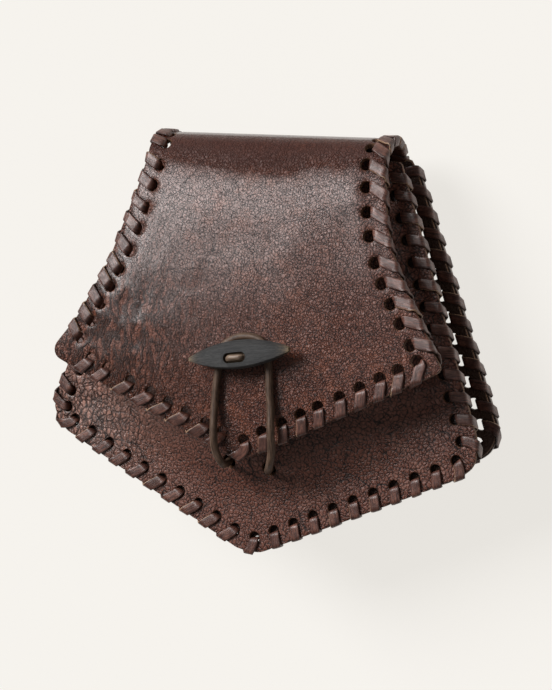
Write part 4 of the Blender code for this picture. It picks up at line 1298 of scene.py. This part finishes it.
def cord_ring(name, points, steps, diameter, material, seed):
    """A tube round a closed curve, whose section stays square to it and turns as little as it can."""
    middle = smooth_ring(points, steps)
    count = len(middle)
    ahead = unit(np.roll(middle, -1, axis=0) - np.roll(middle, 1, axis=0))
    side = np.zeros((count, 3))
    side[0] = unit(np.cross(ahead[0], (0.3, 0.2, 0.9)))
    for k in range(1, count):
        side[k] = unit(side[k - 1] - (side[k - 1] @ ahead[k]) * ahead[k])
    other = np.cross(ahead, side)
    closing = side[-1] - (side[-1] @ ahead[0]) * ahead[0]
    slip = math.atan2(closing @ other[0], closing @ side[0])
    turned = (np.arange(count) / count * -slip)[:, None]
    cos, sin = np.cos(turned), np.sin(turned)
    side, other = side * cos + other * sin, other * cos - side * sin
    section = circle(CORD_SIDES)
    uneven = hills(along_tube(middle, section * 2)[:, :2], 1.6, seed).reshape(count, CORD_SIDES)
    radius = diameter / 2 * (1 + CORD_UNEVEN * uneven)
    outward = side[:, None] * section[:, :1] + other[:, None] * section[:, 1:]
    rings = middle[:, None] + radius[..., None] * outward
    faces = tube_faces(count, CORD_SIDES).reshape(-1, 4).tolist()
    return new_piece(name, rings.reshape(-1, 3), faces, material,
                     {"along": along_tube(middle, section * diameter / 2)})


# %% The closure loop
CORD = 2.6
LOOP_OVER_FLAP = np.array([
    (-6.0, 37.6, 2.6), (-8.0, 32.6, 3.6), (-8.6, 26.2, 3.6), (-9.0, 18.0, 2.2), (-9.0, 11.0, 1.7),
    (-8.4, 3.0, 1.7), (-7.4, -4.0, 1.7), (-0.6, -7.8, 1.7), (7.4, -6.6, 1.7), (10.7, 1.4, 1.7),
    (12.0, 11.0, 1.7), (13.0, 17.0, 2.2), (13.8, 24.0, 3.6), (14.2, 31.0, 3.5), (12.6, 36.8, 2.0)])
inner_depth = -(LEATHER / 2 + GAP + CORD / 2)
left_in, left_out = on_front(np.repeat(LOOP_HOLES[:1], 2, 0), np.array([inner_depth, LEATHER]))
right_out, right_in = on_front(np.repeat(LOOP_HOLES[1:], 2, 0), np.array([LEATHER, inner_depth]))
between = on_front(LOOP_HOLES.mean(axis=0)[None], np.array([inner_depth - CORD / 2]))
over_flap = on_wrap(TIE + LOOP_OVER_FLAP[:, :2], LEATHER / 2 + LOOP_OVER_FLAP[:, 2])
loop_points = np.concatenate([[left_in, left_out], over_flap, [right_out, right_in], between])
closure = cord_ring("closure_cord", loop_points, 12, CORD + 0.25, loop_cord, 31)
stands_for(closure, "closure_loop")

# %% The toggle's tie
bend = TIE_CORD * 0.55
high = TOGGLE_TOP - SLOT_DEPTH + GAP + TIE_CORD / 2
low = -LEATHER - GAP - TIE_CORD / 2
quarter = np.linspace(0, np.pi / 2, 4)
tie_points = np.concatenate([
    np.column_stack([x + bend * np.cos(quarter + turn), np.zeros(4), z + bend * np.sin(quarter + turn)])
    for x, z, turn in ((TIE_HALF - bend, high - bend, 0), (bend - TIE_HALF, high - bend, np.pi / 2),
                       (bend - TIE_HALF, low + bend, np.pi), (TIE_HALF - bend, low + bend, 1.5 * np.pi))])
tie = cord_ring("tie_ring", by_toggle(tie_points), 5, TIE_CORD, tie_cord, 32)
stands_for(tie, "toggle_tie")

# %% [markdown]
# ## The belt strap
# The strap on the back holds the belt and isn't seen. It is one plain band of the same leather, bent to a
# flat bridge with two flanges.

# %% The strap
STRAP_WIDTH = 52.0
STRAP_FLAT = 64.0
STRAP_RAMP = 8.0
STRAP_FLANGE = 11.0
flange_z = BACK_Z - LEATHER / 2 - GAP - STRAP_LEATHER / 2
flat_z = STRAP_LEATHER / 2
half_flat = STRAP_FLAT / 2
strap_right = [(half_flat, flat_z), (half_flat + STRAP_RAMP, flange_z),
               (half_flat + STRAP_RAMP + STRAP_FLANGE, flange_z)]
strap_left = [(-y, z) for y, z in reversed(strap_right)]
strap_profile = Line(rounded(strap_left + strap_right, [4.0] * 4, FINE_STEP))


def strap_middle(flat):
    """The strap: its Y is a running length along the bent profile, and X goes straight across."""
    place, _ = strap_profile.at(flat[:, 1])
    return np.stack([flat[:, 0], STRAP_MIDDLE + place[:, 0], place[:, 1]], -1)


strap_outline = rectangle(-STRAP_WIDTH / 2, STRAP_WIDTH / 2, strap_profile.length, 2.0, OUTLINE_STEP)
no_holes = np.zeros((0, 2)), np.zeros(0)
strap = sheet("belt_strap", strap_outline, no_holes, [(0.0, strap_profile.length, 1.8)], 4,
              partial(lifted, strap_middle, -1), STRAP_LEATHER, nothing, front_leather)
stands_for(strap, "belt_loop")
